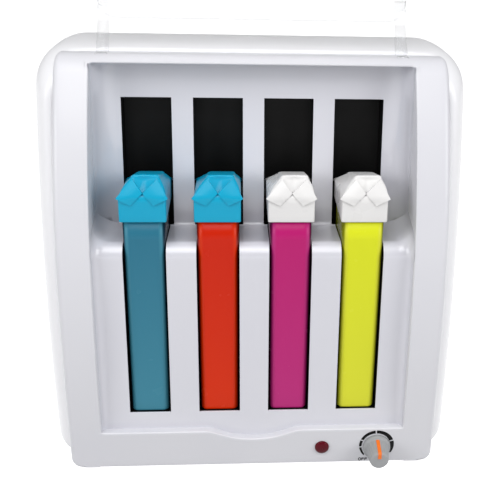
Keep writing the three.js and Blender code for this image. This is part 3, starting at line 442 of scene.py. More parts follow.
for name, (place, target, size, power) in LAMPS.items():
    lamp_data = bpy.data.lights.new(name, "AREA")
    lamp_data.size, lamp_data.energy = size, power
    lamp = bpy.data.objects.new(name, lamp_data)
    lamp.location = place
    lamp.rotation_euler = (Vector((0, 0, target)) - Vector(place)).to_track_quat("-Z", "Y").to_euler()
    bpy.context.scene.collection.objects.link(lamp)
print("lamps:", len(LAMPS))

# %% [markdown]
# Seen from the side, the housing's front is one flowing line: a straight leaning foot, a long lower arc, a
# tighter upper arc and a small brow that turns over into the flat top. Every face of the front frame is that
# line carried across, so it is worked out once, with its length, and looked up by length.

# %% The housing's front line
BELLY_HEIGHT = 130.0
LOWER_RADIUS, LOWER_LEAN = 600.0, 0.14
BROW_DEPTH, BROW_RADIUS, BROW_DROP = 26.08, 18.0, 4.8
ROOF_HEIGHT = 244.8
TOP_SEAM_DEPTH, SIDE_SEAM_DEPTH = 50.0, 30.0
LINE_POINTS, ARCS_AND_FOOT = 120, 4
SLOPE_STEP = 0.5

upper_height = ROOF_HEIGHT - BROW_DROP - BELLY_HEIGHT
upper_radius = (upper_height ** 2 + BROW_DEPTH ** 2) / (2 * BROW_DEPTH)
brow_angle = math.asin(upper_height / upper_radius)
brow_depth = upper_radius - (upper_radius - BROW_RADIUS) * math.cos(brow_angle)
brow_height = BELLY_HEIGHT + (upper_radius - BROW_RADIUS) * math.sin(brow_angle)
FRAME_TOP = brow_height + BROW_RADIUS


def front_arc(depth, height, radius, start, end):
    """Points of an arc about a centre (depth, height), its angle measured upwards from straight ahead."""
    angle = np.linspace(start, end, LINE_POINTS)
    return points_of(depth - radius * np.cos(angle), height + radius * np.sin(angle))


lower = front_arc(LOWER_RADIUS, BELLY_HEIGHT, LOWER_RADIUS, -LOWER_LEAN, 0)
foot = [lower[0, 0] + math.tan(LOWER_LEAN) * lower[0, 1], 0]
front_line = joined(
    np.linspace(foot, lower[0], LINE_POINTS), lower,
    front_arc(upper_radius, BELLY_HEIGHT, upper_radius, 0, brow_angle),
    front_arc(brow_depth, brow_height, BROW_RADIUS, brow_angle, QUARTER),
    np.linspace([brow_depth, FRAME_TOP], [TOP_SEAM_DEPTH, FRAME_TOP], LINE_POINTS))
front_length = length_along(front_line)
FRONT_END = front_length[-1]
rising = slice(0, ARCS_AND_FOOT * (LINE_POINTS - 1))


def at_height(height):
    """Length along the front line where it first reaches a height."""
    return np.interp(height, front_line[rising, 1], front_length[rising])


def carried(line, lengths, side, length, step):
    """Points (side, depth, height) of a (depth, height) line carried across, and their outward directions:
    the line's own direction, from a step before the point to a step after it, turned by a quarter."""
    here, ahead, back = (np.stack([np.interp(place, lengths, line[:, n]) for n in (0, 1)])
                         for place in (length, length + step, length - step))
    run, rise = ahead - back
    points = points_of(side, *here)
    return points, np.broadcast_to(unit(points_of(0, -rise, run)), points.shape)


def on_front(side, length):
    """Points on the housing's front at each length, and their outward directions."""
    return carried(front_line, front_length, side, length, SLOPE_STEP)


print("front line length, mm:", round(float(FRONT_END), 1))

# %% [markdown]
# The front frame is a moulded surround: two pillars, a lip across the top and a control strip below, with
# rounded outer edges and a crisp rounded rim about its opening. The ledge below the opening dips in the
# middle, where fingers reach in. The opening's outline is drawn first, with that dip.

# %% The frame's opening
BAY_PITCH, BAY_COUNT = 42.0, 4
OPENING_HALF, LEDGE_HEIGHT = 92.5, 25.0
SCOOP_HALF, SCOOP_DEPTH, SCOOP_BLEND = 23.0, 6.0, 6.0
RIM_ACROSS, RIM_UP = 97, 61


def ledge_height(side):
    """The ledge's height: level, with a dip by (1 - s^2)^2 (1 + s^2) in the middle."""
    share = np.clip(np.abs(side) / (SCOOP_HALF + SCOOP_BLEND), 0, 1)
    return LEDGE_HEIGHT - SCOOP_DEPTH * (1 - share ** 2) ** 2 * (1 + share ** 2)


def opening_ring():
    """The opening's outline, anticlockwise from its low left corner: points (side, length) and the
    direction out of the opening at each, turned halfway at the corners."""
    low, high = at_height(LEDGE_HEIGHT), at_height(ROOF_HEIGHT)
    x, s = np.linspace(-OPENING_HALF, OPENING_HALF, RIM_ACROSS), np.linspace(low, high, RIM_UP)
    edges = [points_of(x, at_height(ledge_height(x))), points_of(OPENING_HALF, s),
             points_of(x[::-1], high), points_of(-OPENING_HALF, s[::-1])]
    ways = np.array([(0, -1), (1, 0), (0, 1), (-1, 0)], float)
    counts = [len(edge) - 1 for edge in edges]
    away = np.repeat(ways, counts, 0)
    away[np.cumsum([0, *counts[:-1]])] = ways + np.roll(ways, 1, 0)
    return np.concatenate([edge[:-1] for edge in edges]), away


print("opening, mm:", 2 * OPENING_HALF, "by", round(ROOF_HEIGHT - LEDGE_HEIGHT, 1))

# %% [markdown]
# The frame itself is five sheets that meet along shared lines. The first three are a ring round the opening,
# which goes from the face over the rounding and straight back into the opening, and the two pillars.

# %% The frame's rim and pillars
FRAME_HALF = far_corner("front_frame")[0]
FRAME_CORNER = 7.0
FRAME_EDGE, UNDER_EDGE, RIM_EDGE, RIM_MARGIN = 3.5, 1.2, 0.9, 2.2
PANEL_DEPTH, PANEL_FILLET, LEDGE_BACK = 48.0, 20.0, 17.0
BEHIND_SEAM, BEHIND_PANEL = 2.0, 1.0
CORNER_ROWS, PILLAR_ROWS, BROW_ROWS, PILLAR_COLUMNS = 13, 49, 25, 5
MITRED = 0.5


def frame_rim():
    """The ring of sheets about the opening: face margin, rounding and the wall that runs back."""
    points, away = opening_ring()
    margin, _ = on_front(*(points + RIM_MARGIN * away).T)
    corner, face = on_front(*points.T)
    wall = points_of(-away[:, 0], 0, -away[:, 1])
    rows = [margin, *rounded_edge(corner, face, wall, RIM_EDGE)]
    back = rows[-1].copy()
    back[:, 1] = np.where(away[:, 1] > MITRED, PANEL_DEPTH + BEHIND_PANEL,
                          np.where(away[:, 1] < -MITRED, LEDGE_BACK, PANEL_DEPTH - PANEL_FILLET))
    return sheet(np.stack([*rows, back]), closed=True)


def frame_side(sign):
    """One pillar with its outer edge and side wall. Across: face, rounding, wall. Up: foot to top seam. The
    half width is less by FRAME_CORNER - root(FRAME_CORNER^2 - below^2) at the rounded foot."""
    marks = [0, at_height(FRAME_CORNER), at_height(ROOF_HEIGHT - BROW_DROP), FRONT_END]
    length = joined(*(np.linspace(low, high, rows) for low, high, rows in
                      zip(marks, marks[1:], (CORNER_ROWS, PILLAR_ROWS, BROW_ROWS))))
    height = on_front(0, length)[0][:, 2]
    below = np.clip(FRAME_CORNER - height, 0, FRAME_CORNER)
    beside = np.sqrt(FRAME_CORNER ** 2 - below ** 2)
    corner, face = on_front(sign * (FRAME_HALF - FRAME_CORNER + beside), length)
    wall = points_of(sign * beside, 0, -below)
    radius = UNDER_EDGE + (FRAME_EDGE - UNDER_EDGE) * np.clip(height / FRAME_CORNER, 0, 1)
    rounding = rounded_edge(corner, face, wall, radius)
    inner, reach = OPENING_HALF + RIM_MARGIN, np.abs(rounding[0][:, 0])
    columns = [on_front(sign * (inner + (reach - inner) * share), length)[0]
               for share in np.linspace(0, 1, PILLAR_COLUMNS + 1)[:-1]]
    depth = rounding[-1][:, 1]
    for share in (0.5, 1):
        column = rounding[-1].copy()
        column[:, 1] = depth + (np.maximum(SIDE_SEAM_DEPTH + BEHIND_SEAM, depth) - depth) * share
        rounding.append(column)
    return sheet(np.stack([*columns, *rounding], 1), flipped=sign < 0)


print("frame, mm:", round(2 * FRAME_HALF, 1), "wide,", round(FRAME_TOP, 1), "high")

# %% [markdown]
# Between the pillars, the control strip closes the frame below the opening and the lip closes it above. Both
# start on the ring's own margin, so that no gap shows.

# %% The front frame
STRIP_ROWS, LIP_ROWS, LIP_COLUMNS = 9, 25, 25


def frame_strip():
    """The control strip between the pillars: underside, rounded low edge and face up to the rim."""
    x = np.linspace(-OPENING_HALF - RIM_MARGIN, OPENING_HALF + RIM_MARGIN, RIM_ACROSS)
    corner, face = on_front(x, 0)
    rounding = rounded_edge(corner, face, [0, 0, -1], UNDER_EDGE)[::-1]
    under = rounding[0].copy()
    under[:, 1] = SIDE_SEAM_DEPTH
    top = at_height(ledge_height(np.clip(x, -OPENING_HALF, OPENING_HALF))) - RIM_MARGIN
    rows = [on_front(x, UNDER_EDGE + (top - UNDER_EDGE) * share)[0]
            for share in np.linspace(0, 1, STRIP_ROWS)[1:]]
    return sheet(np.stack([under, *rounding, *rows]))


def frame_lip():
    """The lip across the top: from the rim over the brow and back to the seam."""
    x = np.linspace(-OPENING_HALF - RIM_MARGIN, OPENING_HALF + RIM_MARGIN, LIP_COLUMNS)
    length = np.linspace(at_height(ROOF_HEIGHT) + RIM_MARGIN, FRONT_END, LIP_ROWS)
    return sheet(on_front(x[None, :], length[:, None])[0])


piece("front_surround", [frame_rim(), frame_side(-1), frame_side(1), frame_strip(), frame_lip()],
      white_plastic, "housing", ["front_frame"])

# %% [markdown]
# The rear shell is the housing's back half. Its section is a barrel-sided rectangle with rounded corners, and
# its front edge curls round in a quarter circle to meet the frame. Each ring of the grid is that section at
# one depth. The rings are open at the bottom, where the base plate closes the shell.

# %% The rear shell's section
SHELL_HALF, SHELL_DEPTH, SHELL_TOP = far_corner("rear_shell")
FLARE_WIDTH, FLARE_DEPTH, FLARE_DROP = 11.3, 34.0, 8.0
CROWN_DEPTH, CROWN_RADIUS, BARREL_DROP = 95.0, 370.0, 3.5
SHELL_TOP_CORNER, SHELL_BOTTOM_CORNER, BASE_RIM = 20.0, 10.0, 17.0
WALL, SEAM = 2.5, 0.3
LOW_STEPS, WALL_STEPS, TOP_STEPS, ROOF_STEPS = 13, 41, 17, 12


def quarter_arc(side, height, radius, start, count):
    """A quarter circle of (side, height) points about a centre, from a start angle."""
    angle = np.linspace(start, start + QUARTER, count)
    return points_of(side + radius * np.cos(angle), height + radius * np.sin(angle))


def shell_section(half, high, low):
    """Half of the section, from the base plate's edge round the right side to the middle of the top. The
    sides fall in by BARREL_DROP ((height - belly) / belly)^2."""
    low_radius, top_radius = SHELL_BOTTOM_CORNER, SHELL_TOP_CORNER
    low_side, top_side = half - low_radius, half - top_radius
    section = joined(
        quarter_arc(low_side, low + low_radius, low_radius, -QUARTER, LOW_STEPS),
        np.linspace([half, low + low_radius], [half, high - top_radius], WALL_STEPS),
        quarter_arc(top_side, high - top_radius, top_radius, 0, TOP_STEPS),
        np.linspace([top_side, high], [0, high], ROOF_STEPS))
    section = np.concatenate([[[SHELL_HALF - BASE_RIM, low]], section])
    drop = BARREL_DROP * ((section[:, 1] - BELLY_HEIGHT) / BELLY_HEIGHT) ** 2
    section[:, 0] -= np.where(section[:, 0] > 1, drop * np.clip(section[:, 0] / half, 0, 1), 0)
    return section


def shell_ring(depth, flare, rounding):
    """The whole section at one depth, left to right over the top. The top is crowned from front to back."""
    half = SHELL_HALF - FLARE_WIDTH * flare - rounding
    crown = CROWN_RADIUS - math.sqrt(CROWN_RADIUS ** 2 - (depth - CROWN_DEPTH) ** 2)
    section = shell_section(half, SHELL_TOP - crown - FLARE_DROP * flare - rounding,
                            min(rounding, SHELL_BOTTOM_CORNER))
    both = np.concatenate([section, section[-2::-1] * np.array([-1, 1])])[::-1]
    return points_of(both[:, 0], depth, both[:, 1])


print("shell, mm:", round(2 * SHELL_HALF, 1), "wide,", round(SHELL_DEPTH, 1), "deep")

# %% [markdown]
# Behind the frame's lip the shell's front edge is pushed back, so that the curl, which is seen beside the
# pillars, never shows through the lip. Only the middle of the top moves, with a soft step at each side.

# %% The rear shell
HIDDEN_END, HIDDEN_BLEND, LIP_OVERLAP = 106.0, 12.0, 0.4
REAR_RADIUS = 12.0
CURL_RINGS, BODY_RINGS, REAR_RINGS = 15, 14, 11


def shell_skin():
    """Outer skin, front to back: the curl by its own angle, the body, and the rounding into the back."""
    curl_end, straight_end = SIDE_SEAM_DEPTH + FLARE_DEPTH, SHELL_DEPTH - REAR_RADIUS
    rings = [shell_ring(SIDE_SEAM_DEPTH + FLARE_DEPTH * (1 - math.cos(turn)), 1 - math.sin(turn), 0)
             for turn in np.linspace(0, QUARTER, CURL_RINGS)]
    rings += [shell_ring(depth, 0, 0) for depth in np.linspace(curl_end, straight_end, BODY_RINGS)[1:]]
    rings += [shell_ring(straight_end + REAR_RADIUS * math.sin(turn), 0, REAR_RADIUS * (1 - math.cos(turn)))
              for turn in np.linspace(0, QUARTER, REAR_RINGS)[1:]]
    for ring in rings:
        under_lip = eased((HIDDEN_END - np.abs(ring[:, 0])) / HIDDEN_BLEND) * (ring[:, 2] > BELLY_HEIGHT)
        ring[:, 1] += np.maximum(TOP_SEAM_DEPTH - LIP_OVERLAP - ring[:, 1], 0) * under_lip
    rim = rings[0].copy()
    rim[:, 0] = np.clip(rim[:, 0], -FRAME_HALF - SEAM, FRAME_HALF + SEAM)
    rim[:, 2] = np.minimum(rim[:, 2], FRAME_TOP - SEAM)
    return np.stack([rim + np.array([0, WALL, 0]), rim, *rings])


shell_grid = shell_skin()
shell_back = np.stack([shell_grid[-1] * np.array([share, 1, 1]) for share in (1, 0.5, 0)])
piece("back_housing", [sheet(shell_grid), sheet(shell_back)], shell_plastic_painted_light, "housing",
      ["rear_shell"])

# %% [markdown]
# The bay insert is one moulding: a face that leans forward, a shelf with a big rounded edge, and a tall panel
# behind it. Seen from the side that is one more line. It blends into the frame's sides in hollow curves,
# small beside the face and large beside the panel, which add to the line as it is carried across.

# %% The bay insert's surface
SLOT_HALF, WINDOW_HALF = 12.4, 14.7
SLOT_FLOOR, SHELF_HEIGHT, WINDOW_TOP = 35.9, 145.5, 223.6
FACE_AT_SHELF, FACE_LEAN, FACE_FILLET = 5.6, 0.078, 5.0
SHELF_EDGE, SHELF_CORNER = 8.0, 2.5
INSERT_OVERLAP = 2.0
FACE_STEPS, TURN_STEPS, SHELF_STEPS, PANEL_STEPS = 60, 24, 20, 40
INSERT_STEP = 0.4


def face_depth(height):
    """How far back the leaning face lies at a height."""
    return FACE_AT_SHELF + FACE_LEAN * (SHELF_HEIGHT - height)


def insert_profile():
    """The insert's line in (depth, height): face, shelf edge, shelf, hollow corner, panel."""
    low, edge_low = LEDGE_HEIGHT - SCOOP_DEPTH - INSERT_OVERLAP, SHELF_HEIGHT - SHELF_EDGE
    edge, corner = face_depth(edge_low), PANEL_DEPTH - SHELF_CORNER
    turn = np.linspace(0, QUARTER, TURN_STEPS)
    return joined(
        np.linspace([face_depth(low), low], [edge, edge_low], FACE_STEPS),
        points_of(edge + SHELF_EDGE * (1 - np.cos(turn)), edge_low + SHELF_EDGE * np.sin(turn)),
        np.linspace([edge + SHELF_EDGE, SHELF_HEIGHT], [corner, SHELF_HEIGHT], SHELF_STEPS),
        points_of(corner + SHELF_CORNER * np.sin(turn), SHELF_HEIGHT + SHELF_CORNER * (1 - np.cos(turn))),
        np.linspace([PANEL_DEPTH, SHELF_HEIGHT + SHELF_CORNER], [PANEL_DEPTH, ROOF_HEIGHT], PANEL_STEPS))


profile = insert_profile()
profile_length = length_along(profile)
on_face, on_panel = profile[:, 1] < SHELF_HEIGHT - SHELF_EDGE, profile[:, 0] > PANEL_DEPTH - 0.01
SLOT_START, SHELF_START = np.interp([SLOT_FLOOR, SHELF_HEIGHT - SHELF_EDGE], profile[on_face, 1],
                                    profile_length[on_face])
WINDOW_END = np.interp(WINDOW_TOP, profile[on_panel, 1], profile_length[on_panel])
SHELF_END = profile_length[on_panel][0] - SHELF_CORNER * QUARTER / 2


def on_insert(side, length):
    """Points on the insert and their outward directions. Beside each side the surface rises by
    radius - root(radius^2 - past^2), past being how far the point is past the hollow curve's start."""
    points, out = carried(profile, profile_length, side, length, INSERT_STEP)
    share = np.clip((length - SHELF_START) / (SHELF_END - SHELF_START), 0, 1)
    radius = FACE_FILLET + (PANEL_FILLET - FACE_FILLET) * share
    past = np.clip(np.abs(side) - (OPENING_HALF - radius), 0, radius)
    lift = radius - np.sqrt(np.maximum(radius ** 2 - past ** 2, 0))
    return points + out * lift[..., None], out


print("insert line length, mm:", round(float(profile_length[-1]), 1))

# %% [markdown]
# The slots and windows are cut by leaving faces out of the insert's grid. Its lines pass through the sides of
# every hole, so that whole faces go, and lie closer together where the surface bends.

# %% The insert with its holes left out
ACROSS_STEP, UP_STEP, FINE_PAST_SHELF, FILLET_STEPS = 4, 5, 4, 13


def bay_middle(number):
    """The side position of a bay's middle line, counted from 0 at the left."""
    return (number - (BAY_COUNT - 1) / 2) * BAY_PITCH


def line_through(marks, step):
    """Rising values that pass through every mark and are at most a step apart."""
    marks = np.unique(np.round(marks, 6))
    return joined(*(np.linspace(a, b, math.ceil((b - a) / step) + 1) for a, b in zip(marks, marks[1:])))


def insert_surface():
    """The insert's visible surface with its slots and windows left out."""
    middles = np.array([bay_middle(n) for n in range(BAY_COUNT)])
    sides = [m + d for m in middles for d in (-WINDOW_HALF, -SLOT_HALF, SLOT_HALF, WINDOW_HALF)]
    edges = OPENING_HALF - PANEL_FILLET * (1 - np.sin(np.linspace(0, QUARTER, FILLET_STEPS)))
    curved = profile_length[(profile_length > SHELF_START) & (profile_length < SHELF_END + FINE_PAST_SHELF)]
    x = line_through([*(-edges), *edges, *sides], ACROSS_STEP)
    s = line_through([0, SLOT_START, SHELF_START, SHELF_END, WINDOW_END, profile_length[-1], *curved],
                     UP_STEP)
    grid, _ = on_insert(*np.meshgrid(x, s))
    x_mid, s_mid = (x[1:] + x[:-1]) / 2, ((s[1:] + s[:-1]) / 2)[:, None]
    near = np.min(np.abs(x_mid - middles[:, None]), 0)[None, :]
    slot = (near < SLOT_HALF) & (s_mid > SLOT_START) & (s_mid < SHELF_END)
    window = (near < WINDOW_HALF) & (s_mid > SHELF_END) & (s_mid < WINDOW_END)
    return sheet(grid, keep=~(slot | window))


print("bay middles, mm:", [bay_middle(n) for n in range(BAY_COUNT)])

# %% [markdown]
# Each hole then gets a rounded rim, and behind it the edge of its black well. A hole's outline is a U that
# starts and ends at the back of the shelf: the slot's goes down from there, and the window's goes up.

# %% The bay insert
HOLE_EDGE, LINING_START, LINING_GAP = 0.8, 0.15, 0.04
HOLE_ACROSS, SLOT_STEPS, WINDOW_STEPS = 9, 90, 40


def hole_wall(side, length, inward, flipped):
    """The rounded rim of a hole, from the surface round the edge, and the lining that goes on behind it."""
    corner, out = on_insert(side, length)
    wall = points_of(inward[:, 0], inward[:, 1] * out[:, 2], -inward[:, 1] * out[:, 1])
    rounding = rounded_edge(corner, out, wall, HOLE_EDGE)
    rim = np.stack([*rounding, rounding[-1] - LINING_START * out])
    lining = np.stack([rim[-1] + LINING_GAP * wall, rim[-1] + LINING_GAP * wall - WALL * out])
    return sheet(rim, flipped=flipped), sheet(lining, flipped=flipped)


def hole_rim(middle, half, end, steps, flipped):
    """The rim of one hole: a U from the shelf's back along one side to the end, across, and back again."""
    s, x = np.linspace(SHELF_END, end, steps), np.linspace(-half, half, HOLE_ACROSS)
    side = np.concatenate([np.full(steps, -half), x, np.full(steps, half)]) + middle
    length = np.concatenate([s, np.full(HOLE_ACROSS, end), s[::-1]])
    ways = np.array([(1.0, 0), (0, np.sign(SHELF_END - end)), (-1.0, 0)])
    return hole_wall(side, length, np.repeat(ways, (steps, HOLE_ACROSS, steps), 0), flipped)


rims, linings = zip(*[hole_rim(bay_middle(n), *hole) for n in range(BAY_COUNT) for hole in (
    (SLOT_HALF, SLOT_START, SLOT_STEPS, False), (WINDOW_HALF, WINDOW_END, WINDOW_STEPS, True))])
piece("bay_moulding", [insert_surface(), *rims], insert_plastic, "housing", ["bay_insert"])
piece("well_lips", linings, black_plastic, "housing", [])

# %% [markdown]
# Each cartridge stands in its bay, leaning forward with the bay's face. The pieces of a cartridge are worked
# out standing upright on their own floor, and one function leans them and puts them in their bay.

# %% Places in a bay
CARTRIDGE_WIDTH, CARTRIDGE_DEPTH, CARTRIDGE_HEIGHT = 24.0, 46.0, 123.4
CARTRIDGE_WALL, CARTRIDGE_TAPER, CARTRIDGE_CORNER = 1.2, 0.6, 4.0
CARTRIDGE_SETBACK, SEAT_LIFT = 1.5, 0.1
CORNER_POINTS, SIDE_POINTS = 8, 7

lean = math.atan(FACE_LEAN)
seat_height = SLOT_FLOOR + SEAT_LIFT
bay_origin = np.array([0, face_depth(seat_height) + CARTRIDGE_SETBACK + CARTRIDGE_DEPTH / 2,
                       seat_height + FACE_LEAN * CARTRIDGE_DEPTH / 2])


def in_bay(points, number):
    """Upright cartridge points turned by the lean about the width, and moved into a bay."""
    side, depth, height = np.moveaxis(np.asarray(points, float), -1, 0)
    leaned = points_of(side, depth * math.cos(lean) - height * math.sin(lean),
                       depth * math.sin(lean) + height * math.cos(lean))
    return leaned + bay_origin + [bay_middle(number), 0, 0]


def rounded_section(half, deep, corner, height):
    """A rounded rectangle at one height, anticlockwise from its right front corner, also along its sides."""
    corners = []
    for turn, (x, y) in enumerate([(1, -1), (1, 1), (-1, 1), (-1, -1)]):
        angle = np.linspace(-QUARTER, 0, CORNER_POINTS) + turn * QUARTER
        corners.append(points_of(x * (half - corner) + corner * np.cos(angle),
                                 y * (deep - corner) + corner * np.sin(angle), height))
    shares = np.linspace(0, 1, SIDE_POINTS + 2)[1:-1, None]
    sides = [a[-1] * (1 - shares) + b[0] * shares for a, b in zip(corners, corners[1:] + corners[:1])]
    return np.concatenate([row for pair in zip(corners, sides) for row in pair])


def filled(ring):
    """A flat ring closed by two more rings: one halfway to its middle, and one at it."""
    middle = ring.mean(0)
    return [(ring + middle) / 2, np.tile(middle, (len(ring), 1))]


print("lean, degrees:", round(math.degrees(lean), 2))

# %% [markdown]
# A cartridge is a plain tapered box of clear tinted plastic, full of wax, with rounded corners and a
# rounded floor. Its rings are rounded rectangles that shrink a little towards the bottom. The wax inside
# gets the same finish, so that it matches wherever it shows.

# %% The cartridges
# For each bay: the wax's own colour, the painted shade along its edges, its paler foot, and the names of the
# two finishes.
BAYS = [("#2b6e86", "#0c2c3b", "#3d8095", "teal_plastic", "blue_cap"),
        ("#c32000", "#751000", "#cf2d01", "orange_body", "blue_cap"),
        ("#b31b6a", "#5a0a3a", "#b42b75", "magenta_plastic", "white_cap"),
        ("#d4da23", "#7d8112", "#d5d736", "lime_plastic", "white_cap")]
FLOOR_EDGE, FLOOR_RINGS, WALL_RINGS = 1.2, 8, 12


def cartridge_ring(height, inset=0.0):
    """The cartridge's section at a height, drawn in by its taper and an inset."""
    drawn = CARTRIDGE_TAPER * (1 - height / CARTRIDGE_HEIGHT) + inset
    return rounded_section(CARTRIDGE_WIDTH / 2 - drawn, CARTRIDGE_DEPTH / 2 - drawn,
                           CARTRIDGE_CORNER - min(inset, CARTRIDGE_CORNER / 2), height)


def cartridge_rings():
    """Rings from the middle of the floor, round its edge and up to the mouth, and the wall's top."""
    floor_edge = [cartridge_ring(FLOOR_EDGE * (1 - math.cos(t)), FLOOR_EDGE * (1 - math.sin(t)))
                  for t in np.linspace(0, QUARTER, FLOOR_RINGS)]
    walls = [cartridge_ring(h) for h in np.linspace(FLOOR_EDGE, CARTRIDGE_HEIGHT, WALL_RINGS)[1:]]
    mouth = cartridge_ring(CARTRIDGE_HEIGHT, CARTRIDGE_WALL)
    return np.stack([*filled(floor_edge[0])[::-1], *floor_edge, *walls, mouth])


def refinish(thing, material):
    """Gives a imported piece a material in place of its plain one."""
    thing.data.materials.clear()
    thing.data.materials.append(material)


# Each cartridge's finish paints shade in its edge colour along the sides and the floor.
for n, (body, edge, low, slot, _) in enumerate(BAYS):
    wax = wax_plastic("tinted_plastic_%d" % (n + 1), body, edge, low, bay_middle(n), CARTRIDGE_WIDTH / 2,
                      seat_height)
    piece("wax_cartridge_%d" % (n + 1), [sheet(in_bay(cartridge_rings(), n), closed=True)], wax,
          "cartridge_%d" % (n + 1), ["cartridge_body_%d" % (n + 1)])
    refinish(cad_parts["wax_fill_%d" % (n + 1)], wax)

# %% [markdown]
# A cap is folded like a carton: a straight band, a crown that slopes in on all four sides, and two stiff
# flaps on the front and the back that meet in a V, lie over the band and stick out at the sides. The body of
# the cap is a stack of rounded rectangles, from inside its mouth to the middle of its top.

# %% The caps' bodies
CAP_THICK, CAP_CORNER, CAP_LIP, CAP_START = 1.0, 1.0, 0.6, 0.4
CAP_HALF, CAP_DEEP = CARTRIDGE_WIDTH / 2 + SEAM + CAP_THICK, CARTRIDGE_DEPTH / 2 + SEAM + CAP_THICK
CAP_HEIGHT, CAP_BAND = 27.9, 14.8
CAP_LOW = CARTRIDGE_HEIGHT + CAP_START
CREASE, CAP_HIGH = CAP_LOW + CAP_BAND, CAP_LOW + CAP_HEIGHT
CROWN_HALF, CROWN_DEEP, CROWN_CORNER, CROWN_BULGE, CROWN_EDGE = 8.2, 18.0, 2.2, 0.7, 2.2
LIP_RINGS, BAND_RINGS, CROWN_RINGS, EDGE_RINGS = 9, 5, 9, 6


def cap_rings():
    """Rings from the inside of the mouth, over the lip, up the band and crown, to the middle of the top. The
    crown's sides run straight to its edge, bulged by CROWN_BULGE sin(pi share)."""
    def ring(inset, height):
        return rounded_section(CAP_HALF - inset, CAP_DEEP - inset, CAP_CORNER, height)
    rings = [ring(CAP_THICK, CREASE), ring(CAP_THICK, CAP_LOW + CAP_LIP)]
    rings += [ring(CAP_THICK / 2 * (1 + math.cos(t)), CAP_LOW + CAP_LIP * (1 - math.sin(t)))
              for t in np.linspace(0, math.pi, LIP_RINGS)]
    rings += [ring(0, h) for h in np.linspace(CAP_LOW + CAP_LIP, CREASE, BAND_RINGS)[1:]]
    for share in np.linspace(0, 1, CROWN_RINGS)[1:]:
        bulge = CROWN_BULGE * math.sin(math.pi * share)
        rings.append(rounded_section(CAP_HALF + (CROWN_HALF - CAP_HALF) * share + bulge,
                                     CAP_DEEP + (CROWN_DEEP - CAP_DEEP) * share + bulge,
                                     CAP_CORNER + (CROWN_CORNER - CAP_CORNER) * share,
                                     CREASE + (CAP_HIGH - CROWN_EDGE - CREASE) * share))
    for t in np.linspace(0, QUARTER, EDGE_RINGS)[1:]:
        inset = CROWN_EDGE * (1 - math.cos(t))
        rings.append(rounded_section(CROWN_HALF - inset, CROWN_DEEP - inset, CROWN_CORNER - inset / 2,
                                     CAP_HIGH - CROWN_EDGE * (1 - math.sin(t))))
    return np.stack([*rings, *filled(rings[-1])])


print("cap, mm:", 2 * CAP_HALF, "by", 2 * CAP_DEEP, "by", CAP_HEIGHT)

# %% [markdown]
# The stack is then bent, because the real caps aren't square: the crown's ends are pressed in between the
# flaps, the crown leans to one side, and the whole cap falls to the back, away from the camera.

# %% Bending a cap
CROWN_SHIFT, CROWN_FALL, BAND_FALL = 2.0, 0.25, 0.09
VALLEY_DEEP, VALLEY_HALF = 2.6, 7.0


def crown_share(height):
    """How far up the crown a height is, from 0 at its crease to 1 at its top."""
    return np.clip((height - CREASE) / (CAP_HEIGHT - CAP_BAND), 0, 1)


def leaned_crown(points):
    """The crown pushed to one side, and all let fall to the back, more the higher a point is."""
    side, depth, height = np.moveaxis(points, -1, 0)
    share, band_share = crown_share(height), np.clip((height - CAP_LOW) / CAP_BAND, 0, 1)
    fall = BAND_FALL * band_share + (CROWN_FALL - BAND_FALL) * share
    return points_of(side + CROWN_SHIFT * share, depth, height - fall * (depth + CAP_DEEP))


def folded_in(rings):
    """The crown's ends pressed in between their flaps: by DEEP max(0, 1 - |side| / HALF) sin(pi share)."""
    side, depth, height = np.moveaxis(rings, -1, 0)
    narrow = np.maximum(0, 1 - np.abs(side) / VALLEY_HALF)
    ends = np.clip((np.abs(depth) - CROWN_DEEP / 2) / (CROWN_DEEP / 2), 0, 1)
    pressed = VALLEY_DEEP * narrow * np.sin(math.pi * crown_share(height)) * ends
    return points_of(side, depth - np.sign(depth) * pressed, height)


print("crown share halfway up:", crown_share((CREASE + CAP_HIGH) / 2))

# %% [markdown]
# A flap is a thin kite with four corners: its heart low in the V, its shoulder high on the crown, its tip out
# at the side and its foot on the band. A grid mixes the corners, and its points are kept just proud of the
# crown. The same kite, turned by signs, makes all four flaps of a cap.

# %% The caps
FLAP_STEPS, FLAP_EDGE, FLAP_LIFT, FLAP_PUFF = 9, 1.7, 0.5, 0.5
FLAP_HEART = np.array([0, CAP_DEEP * 0.6 + CROWN_DEEP * 0.4, CREASE + 2.4])
FLAP_SHOULDER = np.array([CROWN_HALF - 1.2, CROWN_DEEP + 0.6, CAP_HIGH - 2.6])
FLAP_TIP = np.array([CAP_HALF + 1.2, CAP_DEEP - 1.0, CREASE - 0.6])
FLAP_FOOT = np.array([CAP_HALF * 0.48, CAP_DEEP + 0.35, CREASE - 4.6])


def border(grid):
    """The points round a grid's edge."""
    return np.concatenate([grid[0, :-1], grid[:-1, -1], grid[-1, :0:-1], grid[:0:-1, 0]])


def cap_flap(side, facing):
    """One flap's face and its edge: (shoulder to heart by u) to (tip to foot by u) by v, lifted off the crown
    by FLAP_LIFT and puffed by FLAP_PUFF sin(pi u)."""
    u, v = (share[..., None] for share in np.meshgrid(*2 * [np.linspace(0, 1, FLAP_STEPS)], indexing="ij"))
    face = (FLAP_SHOULDER * (1 - u) + FLAP_HEART * u) * (1 - v) + (FLAP_TIP * (1 - u) + FLAP_FOOT * u) * v
    crown = CAP_DEEP + (CROWN_DEEP - CAP_DEEP) * np.clip((face[..., 2] - CREASE) / CAP_HEIGHT * 2, 0, 1)
    face[..., 1] = np.maximum(face[..., 1], crown) + FLAP_LIFT + FLAP_PUFF * np.sin(math.pi * u[..., 0])
    rim = np.stack([border(face), border(face - [0, FLAP_EDGE, 0])])
    return face * [side, facing, 1], rim * [side, facing, 1]


